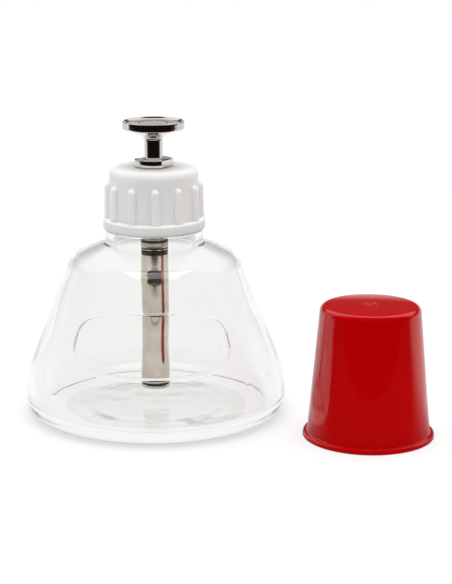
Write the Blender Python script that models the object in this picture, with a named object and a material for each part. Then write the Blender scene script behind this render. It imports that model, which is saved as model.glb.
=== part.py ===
"""Plunger dispenser for alcohol and other solvents.

A glass bottle, a screw cap that carries a plunger pump, and a loose dust cover that stands beside it.
Metres, +Z up. The origin lies on the table, in the middle of the footprint of bottle and cover.
"""

import math

import bmesh
import bpy
from mathutils import Matrix, Vector

# Fits between pieces
SEAT_GAP = 0.0003  # two pieces that rest on each other
RUNNING_GAP = 0.00015  # round a piece that slides or turns
WELD = 0.000001

# Facets of round pieces
BOTTLE_SIDES = 40
CAP_SIDES = 40
COVER_SIDES = 40
PUMP_SIDES = 24
DISH_SIDES = 32
THREAD_STEPS = 36
HOLE_SIDES = 10
BALL_SUBDIVISIONS = 3
SMOOTH_DEGREES = 30.0  # edges sharper than this stay sharp
CUTTER_REACH = 3.0  # length of a cutter in wall thicknesses

# Glass bottle
BOTTLE_RADIUS = 0.0525
HEEL_RADIUS = 0.007
SIDE_BAND_HEIGHT = 0.003
SIDE_BLEND_RADIUS = 0.027
CONE_DEGREES = 21.2  # from upright
CONE_TOP_HEIGHT = 0.061
SHOULDER_RADIUS = 0.007
SHOULDER_DEGREES = 24.0  # above level
NECK_RADIUS = 0.0195
NECK_FILLET = 0.002
NECK_HEIGHT = 0.0034
GLASS_WALL = 0.003
FLOOR_THICKNESS = 0.0026
FLOOR_CROWN = 0.0012
INNER_SIDE_BAND = 0.0005  # upright part of the inside between heel and blend
FOOT_RING_WIDTH = 0.0085
PUSH_UP = 0.001
MOUTH_RADIUS = 0.01225
FINISH_WALL = 0.0025
FINISH_HEIGHT = 0.0217
LIP_ROUND = 0.0008
NECK_BORE_DROP = 0.0015

# Raised oval line on the front of the cone
PANEL_HEIGHT = 0.0377
PANEL_HALF_WIDTH = 0.0322
PANEL_HALF_RISE = 0.0126
PANEL_SQUARENESS = 3.0
PANEL_POINTS = 44
BEAD_RADIUS = 0.0006
BEAD_SINK = 0.0002

# Screw thread of neck and cap
THREAD_PITCH = 0.004
THREAD_TURNS = 1.1
THREAD_DEPTH = 0.0012
THREAD_ROOT_WIDTH = 0.0018
THREAD_CREST_WIDTH = 0.001
THREAD_CLEARANCE = 0.00035
THREAD_DROP = 0.004  # from the lip to the end of the thread
THREAD_BITE = 0.0006  # how far a thread's root is sunk into its wall

# Screw cap and liner
LINER_THICKNESS = 0.001
LINER_OVERHANG = 0.0005
CAP_ROOF = 0.002
CAP_WALL = 0.0013
CAP_DRAFT = 0.0005
CAP_EDGE_ROUND = 0.003
CAP_FOOT_GAP = 0.0006
BAND_HEIGHT = 0.0043
BAND_STAND = 0.0023
BAND_WALL = 0.0016
BAND_ROOF = 0.0013
BAND_ROUND = 0.0008
RIB_COUNT = 12
RIB_RADIUS = 0.0015
RIB_STAND = 0.0018
RIB_TOP_DROP = 0.0064  # from the cap's top to the top of a rib
RIB_SIDES = 10
RIB_SINK = 0.0005
RIB_TURN_DEGREES = -88.5  # one rib just right of the front

# Plunger pump, from the stem outwards
STEM_RADIUS = 0.0036
STEM_BORE = 0.0012
STEM_END_RADIUS = 0.0026
BUSH_WALL = 0.00095
BUSH_LENGTH = 0.007
BUSH_LEDGE = 0.0006
STEM_SEAL_HEIGHT = 0.002
STOP_RING_THICKNESS = 0.001
STOP_GROOVE_DEPTH = 0.0006
BARREL_WALL = 0.0011
BARREL_TOP_WALL = 0.0005
FLANGE_WIDTH = 0.003
FLANGE_THICKNESS = 0.0015
GASKET_THICKNESS = 0.001
COLLAR_WALL = 0.0019
COLLAR_HEIGHT = 0.00275
COLLAR_ROOF = 0.00095
COLLAR_HOLE_GAP = 0.0006
COLLAR_FLAT_CUT = 0.00115
COLLAR_FLAT_DEGREES = -32.0
COLLAR_CHAMFER = 0.0003

# Foot valve and spring
FOOT_CLEARANCE = 0.0057
FOOT_FLANGE = 0.0013
FOOT_GASKET_THICKNESS = 0.0006
INLET_RADIUS = 0.0012
INLET_LENGTH = 0.0034
INLET_BALL_RADIUS = 0.002
INLET_BALL_LIFT = 0.0012
BALL_CLEARANCE = 0.0005
SPRING_SEAT_THICKNESS = 0.0008
SPRING_SEAT_SLOT = 0.0009
SPRING_LENGTH = 0.025
SPRING_TURNS = 8
SPRING_WIRE_RADIUS = 0.00035
SPRING_SIDE_GAP = 0.0005
SPRING_POINTS = 9  # to a turn

# Piston
PISTON_FLANGE = 0.0014
PISTON_WALL = 0.0011
PISTON_WEB = 0.0013
PISTON_SOCKET_DEPTH = 0.006
PISTON_SEAL_HEIGHT = 0.0028
DELIVERY_BALL_RADIUS = 0.0015
DELIVERY_INLET_RADIUS = 0.0009
DELIVERY_SEAT_THICKNESS = 0.0015
DELIVERY_BALL_CLEARANCE = 0.0004

# Press dish
STROKE = 0.0077
DISH_RADIUS = 0.01225
DISH_RIM_HEIGHT = 0.0026
DISH_RIM_ROUND = 0.0004
DISH_UNDER_ROUND = 0.0005
DISH_DEPTH = 0.0009
DISH_SOCKET_DEPTH = 0.0032
DISH_WEB = 0.0009
PLENUM_DEPTH = 0.0009
PLATE_LEDGE = 0.0013
PLATE_THICKNESS = 0.0008
PLATE_RADIUS = 0.0055
PLATE_HOLE_RADIUS = 0.00045
PLATE_HOLE_COUNT = 6
PLATE_HOLE_CIRCLE = 0.003
HUB_STAND = 0.00035
HUB_FLARE = 0.0013

# Dust cover
COVER_SIDE_GAP = 0.002
COVER_HEADROOM = 0.001
COVER_WALL = 0.0015
COVER_DRAFT = 0.0045
COVER_RIM_WIDTH = 0.0017
COVER_RIM_HEIGHT = 0.0018
COVER_RIM_ROUND = 0.0006
COVER_EDGE_ROUND = 0.002
COVER_CROWN = 0.0004
COVER_SPACING = 0.0128  # clear between bottle and cover
COVER_BEARING_DEGREES = -22.3

# Outline of the bottle's body, worked out upwards from the foot
CONE_ANGLE = math.radians(CONE_DEGREES)
SHOULDER_ANGLE = math.radians(SHOULDER_DEGREES)
FOOT_RADIUS = BOTTLE_RADIUS - HEEL_RADIUS
BLEND_CENTRE = (BOTTLE_RADIUS - SIDE_BLEND_RADIUS, HEEL_RADIUS + SIDE_BAND_HEIGHT)
CONE_FOOT = (
    BLEND_CENTRE[0] + SIDE_BLEND_RADIUS * math.cos(CONE_ANGLE),
    BLEND_CENTRE[1] + SIDE_BLEND_RADIUS * math.sin(CONE_ANGLE),
)
CONE_TOP_RADIUS = CONE_FOOT[0] - (CONE_TOP_HEIGHT - CONE_FOOT[1]) * math.tan(CONE_ANGLE)
SHOULDER_CENTRE = (
    CONE_TOP_RADIUS - SHOULDER_RADIUS * math.cos(CONE_ANGLE),
    CONE_TOP_HEIGHT - SHOULDER_RADIUS * math.sin(CONE_ANGLE),
)
SHOULDER_END = (
    SHOULDER_CENTRE[0] + SHOULDER_RADIUS * math.sin(SHOULDER_ANGLE),
    SHOULDER_CENTRE[1] + SHOULDER_RADIUS * math.cos(SHOULDER_ANGLE),
)
FILLET_CENTRE = (
    NECK_RADIUS + NECK_FILLET,
    SHOULDER_END[1]
    + (SHOULDER_END[0] - NECK_RADIUS - NECK_FILLET) * math.tan(SHOULDER_ANGLE)
    + NECK_FILLET / math.cos(SHOULDER_ANGLE),
)
NECK_TOP = FILLET_CENTRE[1] + NECK_HEIGHT
LIP = NECK_TOP + FINISH_HEIGHT
FLOOR_TOP = FLOOR_THICKNESS + FLOOR_CROWN
INNER_HEEL_TOP = BLEND_CENTRE[1] - INNER_SIDE_BAND
INNER_HEEL_RADIUS = INNER_HEEL_TOP - FLOOR_THICKNESS
FINISH_RADIUS = MOUTH_RADIUS + FINISH_WALL

# Cap
CAP_BORE = FINISH_RADIUS + THREAD_DEPTH + THREAD_CLEARANCE
CAP_RADIUS = CAP_BORE + CAP_WALL
CAP_FOOT_RADIUS = CAP_RADIUS + CAP_DRAFT
BAND_RADIUS = CAP_FOOT_RADIUS + BAND_STAND
LINER_BOTTOM = LIP + SEAT_GAP
CAP_UNDERSIDE = LINER_BOTTOM + LINER_THICKNESS + SEAT_GAP
CAP_TOP = CAP_UNDERSIDE + CAP_ROOF
CAP_BOTTOM = NECK_TOP + CAP_FOOT_GAP
BAND_TOP = CAP_BOTTOM + BAND_HEIGHT

# Pump radii
BUSH_BORE = STEM_RADIUS + RUNNING_GAP
BUSH_RADIUS = BUSH_BORE + BUSH_WALL
BARREL_TOP_BORE = BUSH_RADIUS + SEAT_GAP
BARREL_BORE = BARREL_TOP_BORE - BUSH_LEDGE
BARREL_RADIUS = BARREL_BORE + BARREL_WALL
BARREL_TOP_RADIUS = BARREL_TOP_BORE + BARREL_TOP_WALL
CAP_HOLE = BARREL_TOP_RADIUS + SEAT_GAP
FLANGE_RADIUS = BARREL_RADIUS + FLANGE_WIDTH
COLLAR_RADIUS = CAP_HOLE + COLLAR_WALL
COLLAR_HOLE = STEM_RADIUS + COLLAR_HOLE_GAP
PISTON_RADIUS = BARREL_BORE - RUNNING_GAP
PLUG_RADIUS = BARREL_BORE - SEAT_GAP
SOCKET_RADIUS = STEM_END_RADIUS + SEAT_GAP

# Pump heights, from the cap
FLANGE_TOP = CAP_UNDERSIDE - GASKET_THICKNESS - 2 * SEAT_GAP
COLLAR_BOTTOM = CAP_TOP + SEAT_GAP
COLLAR_TOP = COLLAR_BOTTOM + COLLAR_HEIGHT
COLLAR_ROOF_BOTTOM = COLLAR_TOP - COLLAR_ROOF
BARREL_TOP = COLLAR_ROOF_BOTTOM - SEAT_GAP
STEM_SEAL_BOTTOM = BARREL_TOP - STEM_SEAL_HEIGHT
BUSH_TOP = STEM_SEAL_BOTTOM - SEAT_GAP
BUSH_BOTTOM = BUSH_TOP - BUSH_LENGTH
BUSH_SHELF = BUSH_BOTTOM - SEAT_GAP
STOP_RING_TOP = BUSH_BOTTOM - SEAT_GAP
STOP_RING_BOTTOM = STOP_RING_TOP - STOP_RING_THICKNESS

# Pump heights, from the bottle's floor
FOOT_BOTTOM = FLOOR_TOP + FOOT_CLEARANCE
FOOT_FLANGE_TOP = FOOT_BOTTOM + FOOT_FLANGE
FOOT_GASKET_BOTTOM = FOOT_FLANGE_TOP + SEAT_GAP
BARREL_BOTTOM = FOOT_GASKET_BOTTOM + FOOT_GASKET_THICKNESS + SEAT_GAP
INLET_SEAT = FOOT_FLANGE_TOP + INLET_LENGTH


def ball_rise(ball_radius, hole_radius):
    """Height of a ball's centre above the edge of the hole that it closes, with the seat gap left."""
    return math.sqrt((ball_radius + SEAT_GAP) ** 2 - hole_radius**2)


INLET_BALL_CENTRE = INLET_SEAT + ball_rise(INLET_BALL_RADIUS, INLET_RADIUS)
SPRING_SEAT_BOTTOM = INLET_BALL_CENTRE + INLET_BALL_RADIUS + INLET_BALL_LIFT + SEAT_GAP
FOOT_PLUG_TOP = SPRING_SEAT_BOTTOM - SEAT_GAP
SPRING_BOTTOM = SPRING_SEAT_BOTTOM + SPRING_SEAT_THICKNESS + SEAT_GAP
SPRING_TOP = SPRING_BOTTOM + SPRING_LENGTH
SPRING_RADIUS = BARREL_BORE - SPRING_SIDE_GAP - SPRING_WIRE_RADIUS
PISTON_BOTTOM = SPRING_TOP + SEAT_GAP
GROOVE_BOTTOM = PISTON_BOTTOM + PISTON_FLANGE
GROOVE_TOP = GROOVE_BOTTOM + PISTON_SEAL_HEIGHT + 2 * SEAT_GAP
GROOVE_RADIUS = DELIVERY_BALL_RADIUS + DELIVERY_BALL_CLEARANCE + PISTON_WALL
DELIVERY_SEAT = PISTON_BOTTOM + DELIVERY_SEAT_THICKNESS
DELIVERY_BALL_CENTRE = DELIVERY_SEAT + ball_rise(DELIVERY_BALL_RADIUS, DELIVERY_INLET_RADIUS)
PISTON_SOCKET_FLOOR = GROOVE_TOP + PISTON_WEB
PISTON_TOP = PISTON_SOCKET_FLOOR + PISTON_SOCKET_DEPTH

# Dish heights
HUB_BOTTOM = COLLAR_TOP + STROKE + SEAT_GAP
DISH_SOCKET_TOP = HUB_BOTTOM + DISH_SOCKET_DEPTH
PLENUM_FLOOR = DISH_SOCKET_TOP + DISH_WEB
LEDGE_TOP = PLENUM_FLOOR + PLENUM_DEPTH
PLATE_BOTTOM = LEDGE_TOP + SEAT_GAP
DISH_FLOOR = PLATE_BOTTOM + PLATE_THICKNESS
DISH_TOP = DISH_FLOOR + DISH_DEPTH

# Dust cover, sized to go over cap and pump and rest on the shoulder
COVER_MOUTH = BAND_RADIUS + COVER_SIDE_GAP
COVER_RADIUS = COVER_MOUTH + COVER_WALL
COVER_RIM_RADIUS = COVER_RADIUS + COVER_RIM_WIDTH
COVER_TOP_RADIUS = COVER_RADIUS - COVER_DRAFT
COVER_SEAT = SHOULDER_END[1] + (SHOULDER_END[0] - COVER_MOUTH) * math.tan(SHOULDER_ANGLE)
COVER_ROOF = DISH_TOP - COVER_SEAT + COVER_HEADROOM
COVER_TOP = COVER_ROOF + COVER_WALL

# Places on the table
COVER_BEARING = math.radians(COVER_BEARING_DEGREES)
COVER_DISTANCE = BOTTLE_RADIUS + COVER_SPACING + COVER_RIM_RADIUS
COVER_OFFSET = Vector((math.cos(COVER_BEARING), math.sin(COVER_BEARING))) * COVER_DISTANCE
FOOTPRINT_LOW = [min(-BOTTLE_RADIUS, side - COVER_RIM_RADIUS) for side in COVER_OFFSET]
FOOTPRINT_HIGH = [max(BOTTLE_RADIUS, side + COVER_RIM_RADIUS) for side in COVER_OFFSET]
BOTTLE_PLACE = Vector([-(low + high) / 2 for low, high in zip(FOOTPRINT_LOW, FOOTPRINT_HIGH)])
COVER_PLACE = BOTTLE_PLACE + COVER_OFFSET


def clear_scene():
    """Remove every object that the scene starts with."""
    for thing in list(bpy.data.objects):
        bpy.data.objects.remove(thing, do_unlink=True)


def finish(name, colour, roughness, metallic=0.0, transmission=0.0):
    """A material with one Principled shader."""
    material = bpy.data.materials.new(name)
    material.use_nodes = True
    shader = material.node_tree.nodes["Principled BSDF"]
    shader.inputs["Base Color"].default_value = (*colour, 1.0)
    shader.inputs["Roughness"].default_value = roughness
    shader.inputs["Metallic"].default_value = metallic
    shader.inputs["Transmission Weight"].default_value = transmission
    return material


def axis_empty(name, place, height, parent=None):
    """An empty that marks an upright axis through a place on the table."""
    empty = bpy.data.objects.new(name, None)
    bpy.context.scene.collection.objects.link(empty)
    empty.location = (*place, height)
    if parent is not None:
        empty.parent = parent
        empty.location = (0, 0, height - parent.location.z)
    return empty


def add_piece(name, shape, axis, material):
    """Put a bmesh, drawn round the upright axis at its real heights, under the empty of its axis."""
    bmesh.ops.remove_doubles(shape, verts=shape.verts[:], dist=WELD)
    bmesh.ops.recalc_face_normals(shape, faces=shape.faces[:])
    mesh = bpy.data.meshes.new(name)
    shape.to_mesh(mesh)
    shape.free()
    mesh.shade_smooth()
    mesh.set_sharp_from_angle(angle=math.radians(SMOOTH_DEGREES))
    return add_mesh(name, mesh, axis, material)


def add_mesh(name, mesh, axis, material):
    """Link a finished mesh under the empty of its axis, with its heights kept."""
    piece = bpy.data.objects.new(name, mesh)
    bpy.context.scene.collection.objects.link(piece)
    if material is not None:
        mesh.materials.append(material)
    piece.parent = axis
    heights = axis.location.z + (axis.parent.location.z if axis.parent else 0)
    piece.location = (0, 0, -heights)
    return piece


def combine(piece, helper, operation):
    """Join a helper to a piece or cut it out, and keep the helper out of sight."""
    helper.hide_render = True
    helper.display_type = "WIRE"
    step = piece.modifiers.new(helper.name, "BOOLEAN")
    step.operation = operation
    step.object = helper
    step.solver = "EXACT"


def arc(centre, radius, start, end, steps):
    """Points of an arc in a profile, angles in radians from level and outwards."""
    angles = [start + (end - start) * step / steps for step in range(steps + 1)]
    return [(centre[0] + radius * math.cos(a), centre[1] + radius * math.sin(a)) for a in angles]


def dome(edge_radius, edge_height, rise, steps):
    """Points of a shallow dome, from the axis out to its edge."""
    ball = (edge_radius**2 + rise**2) / (2 * rise)
    radii = [edge_radius * step / steps for step in range(steps + 1)]
    return [(r, edge_height + math.sqrt(ball**2 - r**2) - ball + rise) for r in radii]


def spun(profile, sides):
    """A bmesh of a profile spun round the upright axis. One that starts on the axis stays open there."""
    shape = bmesh.new()
    points = [shape.verts.new((radius, 0, height)) for radius, height in profile]
    edges = [shape.edges.new(pair) for pair in zip(points, points[1:])]
    if profile[0][0] > 0:
        edges.append(shape.edges.new((points[-1], points[0])))
    bmesh.ops.spin(
        shape, geom=points + edges, axis=(0, 0, 1), angle=math.tau, steps=sides, use_merge=True
    )
    return shape


def turned(name, profile, sides, axis, material):
    """A turned piece from a profile of radius and height."""
    return add_piece(name, spun(profile, sides), axis, material)


def ring(name, inner, outer, bottom, top, sides, axis, material):
    """A plain flat ring or bush."""
    profile = [(inner, bottom), (outer, bottom), (outer, top), (inner, top)]
    return turned(name, profile, sides, axis, material)


def thread_ridge(name, root, crest, start_height, axis):
    """A right-hand thread of trapezoid section that climbs from a start height. A helper for a union."""
    shape = bmesh.new()
    section = [
        (root, -THREAD_ROOT_WIDTH / 2),
        (crest, -THREAD_CREST_WIDTH / 2),
        (crest, THREAD_CREST_WIDTH / 2),
        (root, THREAD_ROOT_WIDTH / 2),
    ]
    face = shape.faces.new([shape.verts.new((r, 0, start_height + z)) for r, z in section])
    bmesh.ops.spin(
        shape,
        geom=[face, *face.edges, *face.verts],
        axis=(0, 0, 1),
        dvec=(0, 0, THREAD_PITCH / THREAD_STEPS),
        angle=math.tau * THREAD_TURNS,
        steps=round(THREAD_STEPS * THREAD_TURNS),
    )
    return add_piece(name, shape, axis, None)


def ball(name, radius, height, axis, material):
    """A valve ball."""
    shape = bmesh.new()
    bmesh.ops.create_icosphere(
        shape, subdivisions=BALL_SUBDIVISIONS, radius=radius, matrix=Matrix.Translation((0, 0, height))
    )
    return add_piece(name, shape, axis, material)


def bottle_profile():
    """Half section of the bottle: under the foot, up the outside, over the lip and down the inside."""
    quarter = math.pi / 2
    slope_end = quarter - SHOULDER_ANGLE
    inner_fillet = NECK_FILLET + GLASS_WALL
    inner_heel = (BOTTLE_RADIUS - GLASS_WALL - INNER_HEEL_RADIUS, INNER_HEEL_TOP)
    bore_end = NECK_TOP - NECK_BORE_DROP
    fillet_foot = arc(FILLET_CENTRE, inner_fillet, math.pi + slope_end, math.pi, 1)[0]
    lip_out = (FINISH_RADIUS - LIP_ROUND, LIP - LIP_ROUND)
    lip_in = (MOUTH_RADIUS + LIP_ROUND, LIP - LIP_ROUND)
    outside = (
        dome(FOOT_RADIUS - FOOT_RING_WIDTH, 0, PUSH_UP, 3)
        + arc((FOOT_RADIUS, HEEL_RADIUS), HEEL_RADIUS, -quarter, 0, 5)
        + arc(BLEND_CENTRE, SIDE_BLEND_RADIUS, 0, CONE_ANGLE, 3)
        + arc(SHOULDER_CENTRE, SHOULDER_RADIUS, CONE_ANGLE, slope_end, 4)
        + arc(FILLET_CENTRE, NECK_FILLET, math.pi + slope_end, math.pi, 3)
        + [(NECK_RADIUS, NECK_TOP), (FINISH_RADIUS, NECK_TOP)]
        + arc(lip_out, LIP_ROUND, 0, quarter, 2)
    )
    inside = (
        arc(lip_in, LIP_ROUND, quarter, math.pi, 2)
        + [(MOUTH_RADIUS, bore_end), fillet_foot]
        + arc(SHOULDER_CENTRE, SHOULDER_RADIUS - GLASS_WALL, slope_end, CONE_ANGLE, 3)
        + arc(BLEND_CENTRE, SIDE_BLEND_RADIUS - GLASS_WALL, CONE_ANGLE, 0, 3)
        + arc(inner_heel, INNER_HEEL_RADIUS, 0, -quarter, 4)
        + dome(FOOT_RADIUS - FOOT_RING_WIDTH, FLOOR_THICKNESS, FLOOR_CROWN, 3)[::-1]
    )
    return outside + inside


def panel_point(turn):
    """A point of the oval line, as a rounded box laid on the front of the cone."""
    power = 2 / PANEL_SQUARENESS
    across, along = math.cos(turn), math.sin(turn)
    across = PANEL_HALF_WIDTH * math.copysign(abs(across) ** power, across)
    along = PANEL_HALF_RISE * math.copysign(abs(along) ** power, along)
    middle = CONE_FOOT[0] - (PANEL_HEIGHT - CONE_FOOT[1]) * math.tan(CONE_ANGLE)
    radius = middle - along * math.sin(CONE_ANGLE) - BEAD_SINK
    bearing = across / middle
    height = PANEL_HEIGHT + along * math.cos(CONE_ANGLE)
    return radius * math.sin(bearing), -radius * math.cos(bearing), height


def tube_curve(name, points, radius, cyclic):
    """A round tube along points."""
    curve = bpy.data.curves.new(name, "CURVE")
    curve.dimensions = "3D"
    curve.bevel_depth = radius
    curve.bevel_resolution = 1
    curve.use_fill_caps = True
    spline = curve.splines.new("POLY")
    spline.points.add(len(points) - 1)
    spline.use_cyclic_u = cyclic
    for knot, point in zip(spline.points, points):
        knot.co = (*point, 1)
    return curve


def panel_bead(axis):
    """The oval line as a mesh, a helper for a union."""
    turns = [math.tau * step / PANEL_POINTS for step in range(PANEL_POINTS)]
    curve = tube_curve("panel_path", [panel_point(turn) for turn in turns], BEAD_RADIUS, True)
    guide = bpy.data.objects.new("panel_path", curve)
    mesh = bpy.data.meshes.new_from_object(guide)
    bpy.data.objects.remove(guide)
    return add_mesh("panel_bead", mesh, axis, None)


def glass_bottle(axis):
    """The bottle with its thread and its raised oval line."""
    glass = finish("clear_glass", (0.95, 0.97, 0.96), 0.02, transmission=1.0)
    bottle = turned("glass_bottle", bottle_profile(), BOTTLE_SIDES, axis, glass)
    start = LIP - THREAD_DROP - THREAD_TURNS * THREAD_PITCH
    root = FINISH_RADIUS - THREAD_BITE
    ridge = thread_ridge("neck_thread", root, FINISH_RADIUS + THREAD_DEPTH, start, axis)
    combine(bottle, ridge, "UNION")
    combine(bottle, panel_bead(axis), "UNION")


def cap_profile():
    """Half section of the cap without ribs and thread."""
    quarter = math.pi / 2
    top_edge = (CAP_RADIUS - CAP_EDGE_ROUND, CAP_TOP - CAP_EDGE_ROUND)
    band_edge = (BAND_RADIUS - BAND_ROUND, BAND_TOP - BAND_ROUND)
    foot_edge = (BAND_RADIUS - BAND_ROUND, CAP_BOTTOM + BAND_ROUND)
    recess = BAND_RADIUS - BAND_WALL
    return (
        [(CAP_HOLE, CAP_TOP)]
        + arc(top_edge, CAP_EDGE_ROUND, quarter, 0, 4)
        + [(CAP_FOOT_RADIUS, BAND_TOP)]
        + arc(band_edge, BAND_ROUND, quarter, 0, 2)
        + arc(foot_edge, BAND_ROUND, 0, -quarter, 2)
        + [(recess, CAP_BOTTOM), (recess, BAND_TOP - BAND_ROOF), (CAP_BORE, BAND_TOP - BAND_ROOF)]
        + [(CAP_BORE, CAP_UNDERSIDE), (CAP_HOLE, CAP_UNDERSIDE)]
    )


def cap_ribs(axis):
    """Round-topped grip ribs that lean with the cap's wall. A helper for a union."""
    foot = BAND_TOP - RIB_SINK
    top = CAP_TOP - RIB_TOP_DROP
    profile = [(0, foot), (RIB_RADIUS, foot)]
    profile += arc((0, top - RIB_RADIUS), RIB_RADIUS, 0, math.pi / 2, 3)
    shape = spun(profile[:-1] + [(0, top)], RIB_SIDES)
    bmesh.ops.remove_doubles(shape, verts=shape.verts[:], dist=WELD)
    lean = math.atan2(CAP_DRAFT, CAP_TOP - CAP_EDGE_ROUND - BAND_TOP)
    pivot = Vector((0, 0, BAND_TOP))
    bmesh.ops.rotate(shape, verts=shape.verts[:], cent=pivot, matrix=Matrix.Rotation(-lean, 3, "Y"))
    stand = CAP_FOOT_RADIUS + RIB_STAND - RIB_RADIUS
    bmesh.ops.translate(shape, verts=shape.verts[:], vec=(stand, 0, 0))
    first = Matrix.Rotation(math.radians(RIB_TURN_DEGREES), 3, "Z")
    bmesh.ops.rotate(shape, verts=shape.verts[:], matrix=first)
    rib = shape.verts[:] + shape.edges[:] + shape.faces[:]
    for step in range(1, RIB_COUNT):
        copied = bmesh.ops.duplicate(shape, geom=rib)["geom"]
        turn = Matrix.Rotation(math.tau * step / RIB_COUNT, 3, "Z")
        points = [item for item in copied if isinstance(item, bmesh.types.BMVert)]
        bmesh.ops.rotate(shape, verts=points, matrix=turn)
    return add_piece("cap_ribs", shape, axis, None)


def screw_cap(axis):
    """The ribbed cap with its inside thread, one thread width below the bottle's."""
    white = finish("white_plastic", (0.82, 0.82, 0.81), 0.4)
    cap = turned("screw_cap", cap_profile(), CAP_SIDES, axis, white)
    combine(cap, cap_ribs(axis), "UNION")
    below = (THREAD_ROOT_WIDTH + THREAD_CREST_WIDTH) / 2 + SEAT_GAP
    start = LIP - THREAD_DROP - THREAD_TURNS * THREAD_PITCH - below
    ridge = thread_ridge("cap_thread", CAP_BORE + THREAD_BITE, CAP_BORE - THREAD_DEPTH, start, axis)
    combine(cap, ridge, "UNION")


def cap_liner(axis):
    """The soft ring between the bottle's lip and the cap."""
    foam = finish("pale_foam", (0.9, 0.9, 0.88), 0.7)
    inner = MOUTH_RADIUS - LINER_OVERHANG
    outer = CAP_BORE - SEAT_GAP
    top = LINER_BOTTOM + LINER_THICKNESS
    ring("cap_liner", inner, outer, LINER_BOTTOM, top, CAP_SIDES, axis, foam)


def collar_nut(axis, plating):
    """The round nut that clamps the barrel to the cap, with two spanner flats."""
    edge = COLLAR_RADIUS - COLLAR_CHAMFER
    profile = [
        (CAP_HOLE, COLLAR_BOTTOM),
        (COLLAR_RADIUS, COLLAR_BOTTOM),
        (COLLAR_RADIUS, COLLAR_TOP - COLLAR_CHAMFER),
        (edge, COLLAR_TOP),
        (COLLAR_HOLE, COLLAR_TOP),
        (COLLAR_HOLE, COLLAR_ROOF_BOTTOM),
        (CAP_HOLE, COLLAR_ROOF_BOTTOM),
    ]
    nut = turned("collar_nut", profile, DISH_SIDES, axis, plating)
    shape = bmesh.new()
    side = 2 * COLLAR_RADIUS
    for facing in (0, math.pi):
        turn = Matrix.Rotation(math.radians(COLLAR_FLAT_DEGREES) + facing, 4, "Z")
        middle = COLLAR_RADIUS - COLLAR_FLAT_CUT + side / 2
        place = turn @ Matrix.Translation((middle, 0, (COLLAR_BOTTOM + COLLAR_TOP) / 2))
        bmesh.ops.create_cube(shape, size=side, matrix=place)
    combine(nut, add_piece("collar_flats", shape, axis, None), "DIFFERENCE")


def pump_barrel(axis, plating):
    """The tube with its flange under the cap and its threaded top through the cap."""
    profile = [
        (BARREL_BORE, BARREL_BOTTOM),
        (BARREL_RADIUS, BARREL_BOTTOM),
        (BARREL_RADIUS, FLANGE_TOP - FLANGE_THICKNESS),
        (FLANGE_RADIUS, FLANGE_TOP - FLANGE_THICKNESS),
        (FLANGE_RADIUS, FLANGE_TOP),
        (BARREL_TOP_RADIUS, FLANGE_TOP),
        (BARREL_TOP_RADIUS, BARREL_TOP),
        (BARREL_TOP_BORE, BARREL_TOP),
        (BARREL_TOP_BORE, BUSH_SHELF),
        (BARREL_BORE, BUSH_SHELF),
    ]
    turned("pump_barrel", profile, PUMP_SIDES, axis, plating)


def gland(axis, rubber, nylon):
    """Gasket under the cap, guide bush and stem seal."""
    top = FLANGE_TOP + SEAT_GAP + GASKET_THICKNESS
    ring("barrel_gasket", CAP_HOLE, FLANGE_RADIUS, top - GASKET_THICKNESS, top, PUMP_SIDES, axis, rubber)
    ring("gland_bush", BUSH_BORE, BUSH_RADIUS, BUSH_BOTTOM, BUSH_TOP, PUMP_SIDES, axis, nylon)
    ring("stem_seal", BUSH_BORE, BUSH_RADIUS, STEM_SEAL_BOTTOM, BARREL_TOP, PUMP_SIDES, axis, rubber)


def foot_valve(axis, plating, rubber):
    """The plug with the inlet and its ball seat, and the ring that seals it to the barrel."""
    chamber = INLET_BALL_RADIUS + BALL_CLEARANCE
    profile = [
        (INLET_RADIUS, FOOT_BOTTOM),
        (BARREL_RADIUS, FOOT_BOTTOM),
        (BARREL_RADIUS, FOOT_FLANGE_TOP),
        (PLUG_RADIUS, FOOT_FLANGE_TOP),
        (PLUG_RADIUS, FOOT_PLUG_TOP),
        (chamber, FOOT_PLUG_TOP),
        (chamber, INLET_SEAT),
        (INLET_RADIUS, INLET_SEAT),
    ]
    turned("foot_valve", profile, PUMP_SIDES, axis, plating)
    bottom = FOOT_GASKET_BOTTOM
    top = bottom + FOOT_GASKET_THICKNESS
    ring("foot_gasket", PLUG_RADIUS + SEAT_GAP, BARREL_RADIUS, bottom, top, PUMP_SIDES, axis, rubber)


def spring_seat(axis, steel):
    """The washer over the inlet ball, with crossed slots that stay open when the ball is up."""
    bottom, top = SPRING_SEAT_BOTTOM, SPRING_SEAT_BOTTOM + SPRING_SEAT_THICKNESS
    washer = ring("spring_seat", INLET_RADIUS, PLUG_RADIUS, bottom, top, PUMP_SIDES, axis, steel)
    slot_length = 2 * (INLET_BALL_RADIUS + BALL_CLEARANCE)
    for name, size in (
        ("seat_slot_x", (slot_length, SPRING_SEAT_SLOT)),
        ("seat_slot_y", (SPRING_SEAT_SLOT, slot_length)),
    ):
        shape = bmesh.new()
        bmesh.ops.create_cube(shape, size=1)
        bmesh.ops.scale(shape, verts=shape.verts[:], vec=(*size, CUTTER_REACH * SPRING_SEAT_THICKNESS))
        bmesh.ops.translate(shape, verts=shape.verts[:], vec=(0, 0, (bottom + top) / 2))
        combine(washer, add_piece(name, shape, axis, None), "DIFFERENCE")


def least_gap(points, reach, radius):
    """The least clear space between parts of a tube that lie more than reach points apart."""
    places = [Vector(point) for point in points]
    pairs = ((i, j) for i in range(len(places)) for j in range(i + reach, len(places)))
    return min((places[i] - places[j]).length for i, j in pairs) - 2 * radius


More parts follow.
